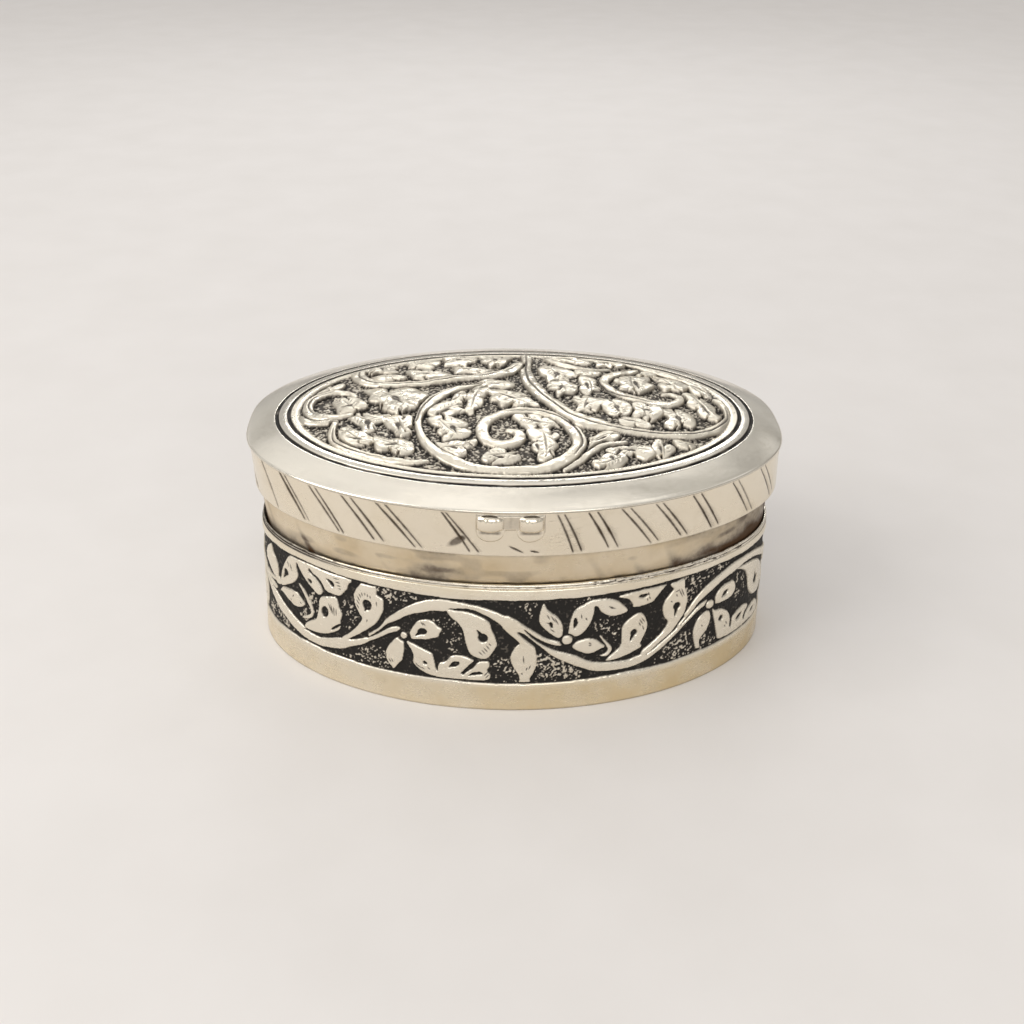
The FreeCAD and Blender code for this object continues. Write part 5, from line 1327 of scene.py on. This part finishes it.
def silver(name, clean, warm, rough, scratch, black=(.022, .02, .018, 1), tint=.5, bump=.25):
    """Old silver: bright metal, warm tarnish, black left in the recesses, and painted shade where the builders ask for
    it.
    """
    mat = bpy.data.materials.new(name)
    mat.use_nodes = True
    nt = mat.node_tree
    bs = nt.nodes["Principled BSDF"]
    co = nt.nodes.new("ShaderNodeTexCoord").outputs["Object"]
    pat = node(nt, "ShaderNodeAttribute", _attribute_name="patina").outputs["Fac"]
    wrm = node(nt, "ShaderNodeAttribute", _attribute_name="warm").outputs["Fac"]
    def noise(scale, detail=3.0, rough_=.55, stretch=None):
        nd = node(nt, "ShaderNodeTexNoise", Scale=scale, Detail=detail, Roughness=rough_)
        if stretch:
            mp = nt.nodes.new("ShaderNodeMapping")
            mp.inputs["Scale"].default_value = stretch
            nt.links.new(co, mp.inputs[0])
            nt.links.new(mp.outputs[0], nd.inputs["Vector"])
        else:
            nt.links.new(co, nd.inputs["Vector"])
        return nd.outputs["Fac"]
    cloud = noise(160.0, 4)
    fine = noise(1500.0, 3)
    blot = noise(420.0, 3)
    brush = noise(900.0, 2, .5, (1.0, 1.0, 5.0))
    fuzz = calc(nt, "MULTIPLY", calc(nt, "SUBTRACT", fine, .5), .35)
    p = calc(nt, "ADD", pat, calc(nt, "MULTIPLY", fuzz, band(nt, pat, .05, .5)), True)
    w = calc(nt, "MULTIPLY", wrm, band(nt, cloud, .3, .7, .45, 1.25), True)
    col = mixer(nt, calc(nt, "MULTIPLY", w, tint), clean, warm)
    col = mixer(nt, band(nt, blot, .55, .85, 0.0, .22), col, tuple(k * .62 for k in warm[:3]) + (1,))
    # the patina value darkens the colour to brown, then black: blackening in the recesses and painted shade and shadow
    tone = mixer(nt, band(nt, p, .1, .8), col, (.26, .225, .185, 1))
    tone = mixer(nt, band(nt, p, .45, .95), tone, black)
    nt.links.new(band(nt, p, .4, .9, 1.0, .1), bs.inputs["Metallic"])
    nt.links.new(band(nt, p, .4, .9, .5, .12), bs.inputs["Specular IOR Level"])
    r = calc(nt, "ADD", band(nt, cloud, .3, .7, rough - .06, rough + .08),
             calc(nt, "MULTIPLY", calc(nt, "SUBTRACT", brush, .5), .22))
    r = calc(nt, "ADD", r, calc(nt, "MULTIPLY", p, .3))
    pol = node(nt, "ShaderNodeAttribute", _attribute_name="polish").outputs["Fac"]
    r = calc(nt, "SUBTRACT", r, calc(nt, "MULTIPLY", pol, .13), True)
    cool = mixer(nt, calc(nt, "MULTIPLY", calc(nt, "MULTIPLY", pol, band(nt, p, .1, .3, 1.0, 0.0)), .35), tone, (.94, .915, .86, 1))
    nt.links.new(cool, bs.inputs["Base Color"])
    nt.links.new(r, bs.inputs["Roughness"])
    h = calc(nt, "ADD", calc(nt, "MULTIPLY", brush, scratch), calc(nt, "MULTIPLY", fine, .5))
    h = calc(nt, "ADD", h, calc(nt, "MULTIPLY", blot, .5))
    bp = node(nt, "ShaderNodeBump", Strength=bump, Distance=.00006)
    nt.links.new(h, bp.inputs["Height"])
    nt.links.new(bp.outputs[0], bs.inputs["Normal"])
    return mat


def make_materials():
    return {
        "chased_silver": silver("chased_silver", (.87, .81, .69, 1), (.74, .60, .36, 1), .28, .4, tint=.85, bump=.16),
        "plain_silver": silver("plain_silver", (.80, .74, .64, 1), (.66, .54, .36, 1), .34, .9),
        "toned_silver": silver("toned_silver", (.84, .75, .60, 1), (.62, .49, .30, 1), .30, 1.0,
                               black=(.075, .04, .018, 1), tint=.75),
        "solder_silver": silver("solder_silver", (.93, .88, .78, 1), (.72, .60, .40, 1), .18, .3,
                                black=(.03, .022, .015, 1)),
        "bright_cut_silver": silver("bright_cut_silver", (.88, .81, .68, 1), (.72, .58, .36, 1), .20, .8,
                                    black=(.05, .032, .016, 1)),
    }


def build_stage():
    """A broad pale cloth lying flat beneath and behind the box."""
    n, m = 160, 160
    xs = np.linspace(-900, 900, n)
    ys = np.linspace(-700, 1500, m)
    X, Y = np.meshgrid(xs, ys, indexing="ij")
    Z = 0 * X
    idx = np.arange(n * m).reshape(n, m)
    q = np.stack([idx[:-1, :-1], idx[1:, :-1], idx[1:, 1:], idx[:-1, 1:]], -1).reshape(-1, 4)
    me = bpy.data.meshes.new("studio_floor")
    me.from_pydata([tuple(p) for p in (np.stack([X, Y, Z - .02], -1).reshape(-1, 3) / 1000.0)], [], q.tolist())
    ob = bpy.data.objects.new("studio_floor", me)
    bpy.context.scene.collection.objects.link(ob)
    mat = bpy.data.materials.new("pale_cloth")
    mat.use_nodes = True
    nt = mat.node_tree
    bs = nt.nodes["Principled BSDF"]
    co = nt.nodes.new("ShaderNodeTexCoord").outputs["Object"]
    nz = node(nt, "ShaderNodeTexNoise", Scale=60.0, Detail=4.0)
    nt.links.new(co, nz.inputs["Vector"])
    nt.links.new(mixer(nt, nz.outputs["Fac"], (.73, .70, .672, 1), (.79, .76, .738, 1)), bs.inputs["Base Color"])
    bs.inputs["Roughness"].default_value = .95
    bs.inputs["Specular IOR Level"].default_value = .1
    me.materials.append(mat)
    return ob


def area(name, where, at, size, power, colour=(1, 1, 1)):
    li = bpy.data.lights.new(name, "AREA")
    li.shape = "RECTANGLE"
    li.size, li.size_y = size
    li.energy = power
    li.color = colour
    ob = bpy.data.objects.new(name, li)
    bpy.context.scene.collection.objects.link(ob)
    ob.location = where
    ob.rotation_euler = (Vector(at) - Vector(where)).to_track_quat("-Z", "Y").to_euler()
    return ob


def build_light():
    sc = bpy.context.scene
    w = bpy.data.worlds.new("pale_room")
    sc.world = w
    w.use_nodes = True
    nt = w.node_tree
    bg = nt.nodes["Background"]
    co = nt.nodes.new("ShaderNodeTexCoord").outputs["Generated"]
    xyz = nt.nodes.new("ShaderNodeSeparateXYZ")
    nt.links.new(co, xyz.inputs[0])
    nz = node(nt, "ShaderNodeTexNoise", Scale=3.4, Detail=2.5)
    nt.links.new(co, nz.inputs["Vector"])
    up = band(nt, xyz.outputs[2], -.1, .5, .40, 1.0)
    left = band(nt, xyz.outputs[0], -.9, .9, 1.0, .62)
    far = band(nt, xyz.outputs[1], .1, .95, 1.0, .95)
    val = calc(nt, "MULTIPLY", calc(nt, "MULTIPLY", up, left), band(nt, nz.outputs["Fac"], .40, .60, .58, 1.25))
    val = calc(nt, "MULTIPLY", val, far)
    nt.links.new(mixer(nt, val, (.20, .19, .175, 1), (1.0, .985, .97, 1)), bg.inputs[0])
    nt.links.new(band(nt, xyz.outputs[2], .55, .92, .78, 1.12), bg.inputs[1])
    area("window_left", (-.45, -.20, .42), (0, 0, .02), (.40, .40), 1.5, (1, .985, .96))
    area("sky_front", (.06, -.60, .26), (0, 0, .02), (.5, .22), .82, (1, .99, .97))
    area("back_top", (.02, .42, .30), (0, 0, .03), (.30, .05), .30, (.96, .98, 1))


def build_camera():
    A, D, el, pitch = .040, 5.0, .4661, .4785
    yaw, roll, cx = .0317, .0159, .005
    T = Vector((0, 0, .0339))
    def turn(v):
        c, s = math.cos(yaw), math.sin(yaw)
        return Vector((v[0] * c + v[1] * s, -v[0] * s + v[1] * c, v[2]))
    pos = T + turn((-cx * A, -D * math.cos(el) * A, D * math.sin(el) * A))
    right, fwd = turn((1, 0, 0)), turn((0, math.cos(pitch), -math.sin(pitch)))
    up = turn((0, math.sin(pitch), math.cos(pitch)))
    cr, sr = math.cos(roll), math.sin(roll)
    r2, u2 = right * cr + up * sr, up * cr - right * sr
    m = Matrix(((r2.x, u2.x, -fwd.x, pos.x), (r2.y, u2.y, -fwd.y, pos.y), (r2.z, u2.z, -fwd.z, pos.z), (0, 0, 0, 1)))
    cam = bpy.data.cameras.new("camera")
    cam.sensor_width = 36.0
    cam.lens = 36.0 * 1321.9 / 1024.0
    cam.shift_x, cam.shift_y = -.00117, -.0735
    cam.clip_start, cam.clip_end = .01, 10.0
    ob = bpy.data.objects.new("camera", cam)
    bpy.context.scene.collection.objects.link(ob)
    ob.matrix_world = m
    bpy.context.scene.camera = ob
    return ob


# ---------------------------------------------------------------------- run
bpy.context.scene.view_settings.view_transform = "Standard"
MAT = make_materials()
build_wall()
build_collar()
build_wire()
build_floor()
build_lid_top()
build_skirt()
build_catch()
build_stage()
build_light()
build_camera()


bpy.context.view_layer.update()
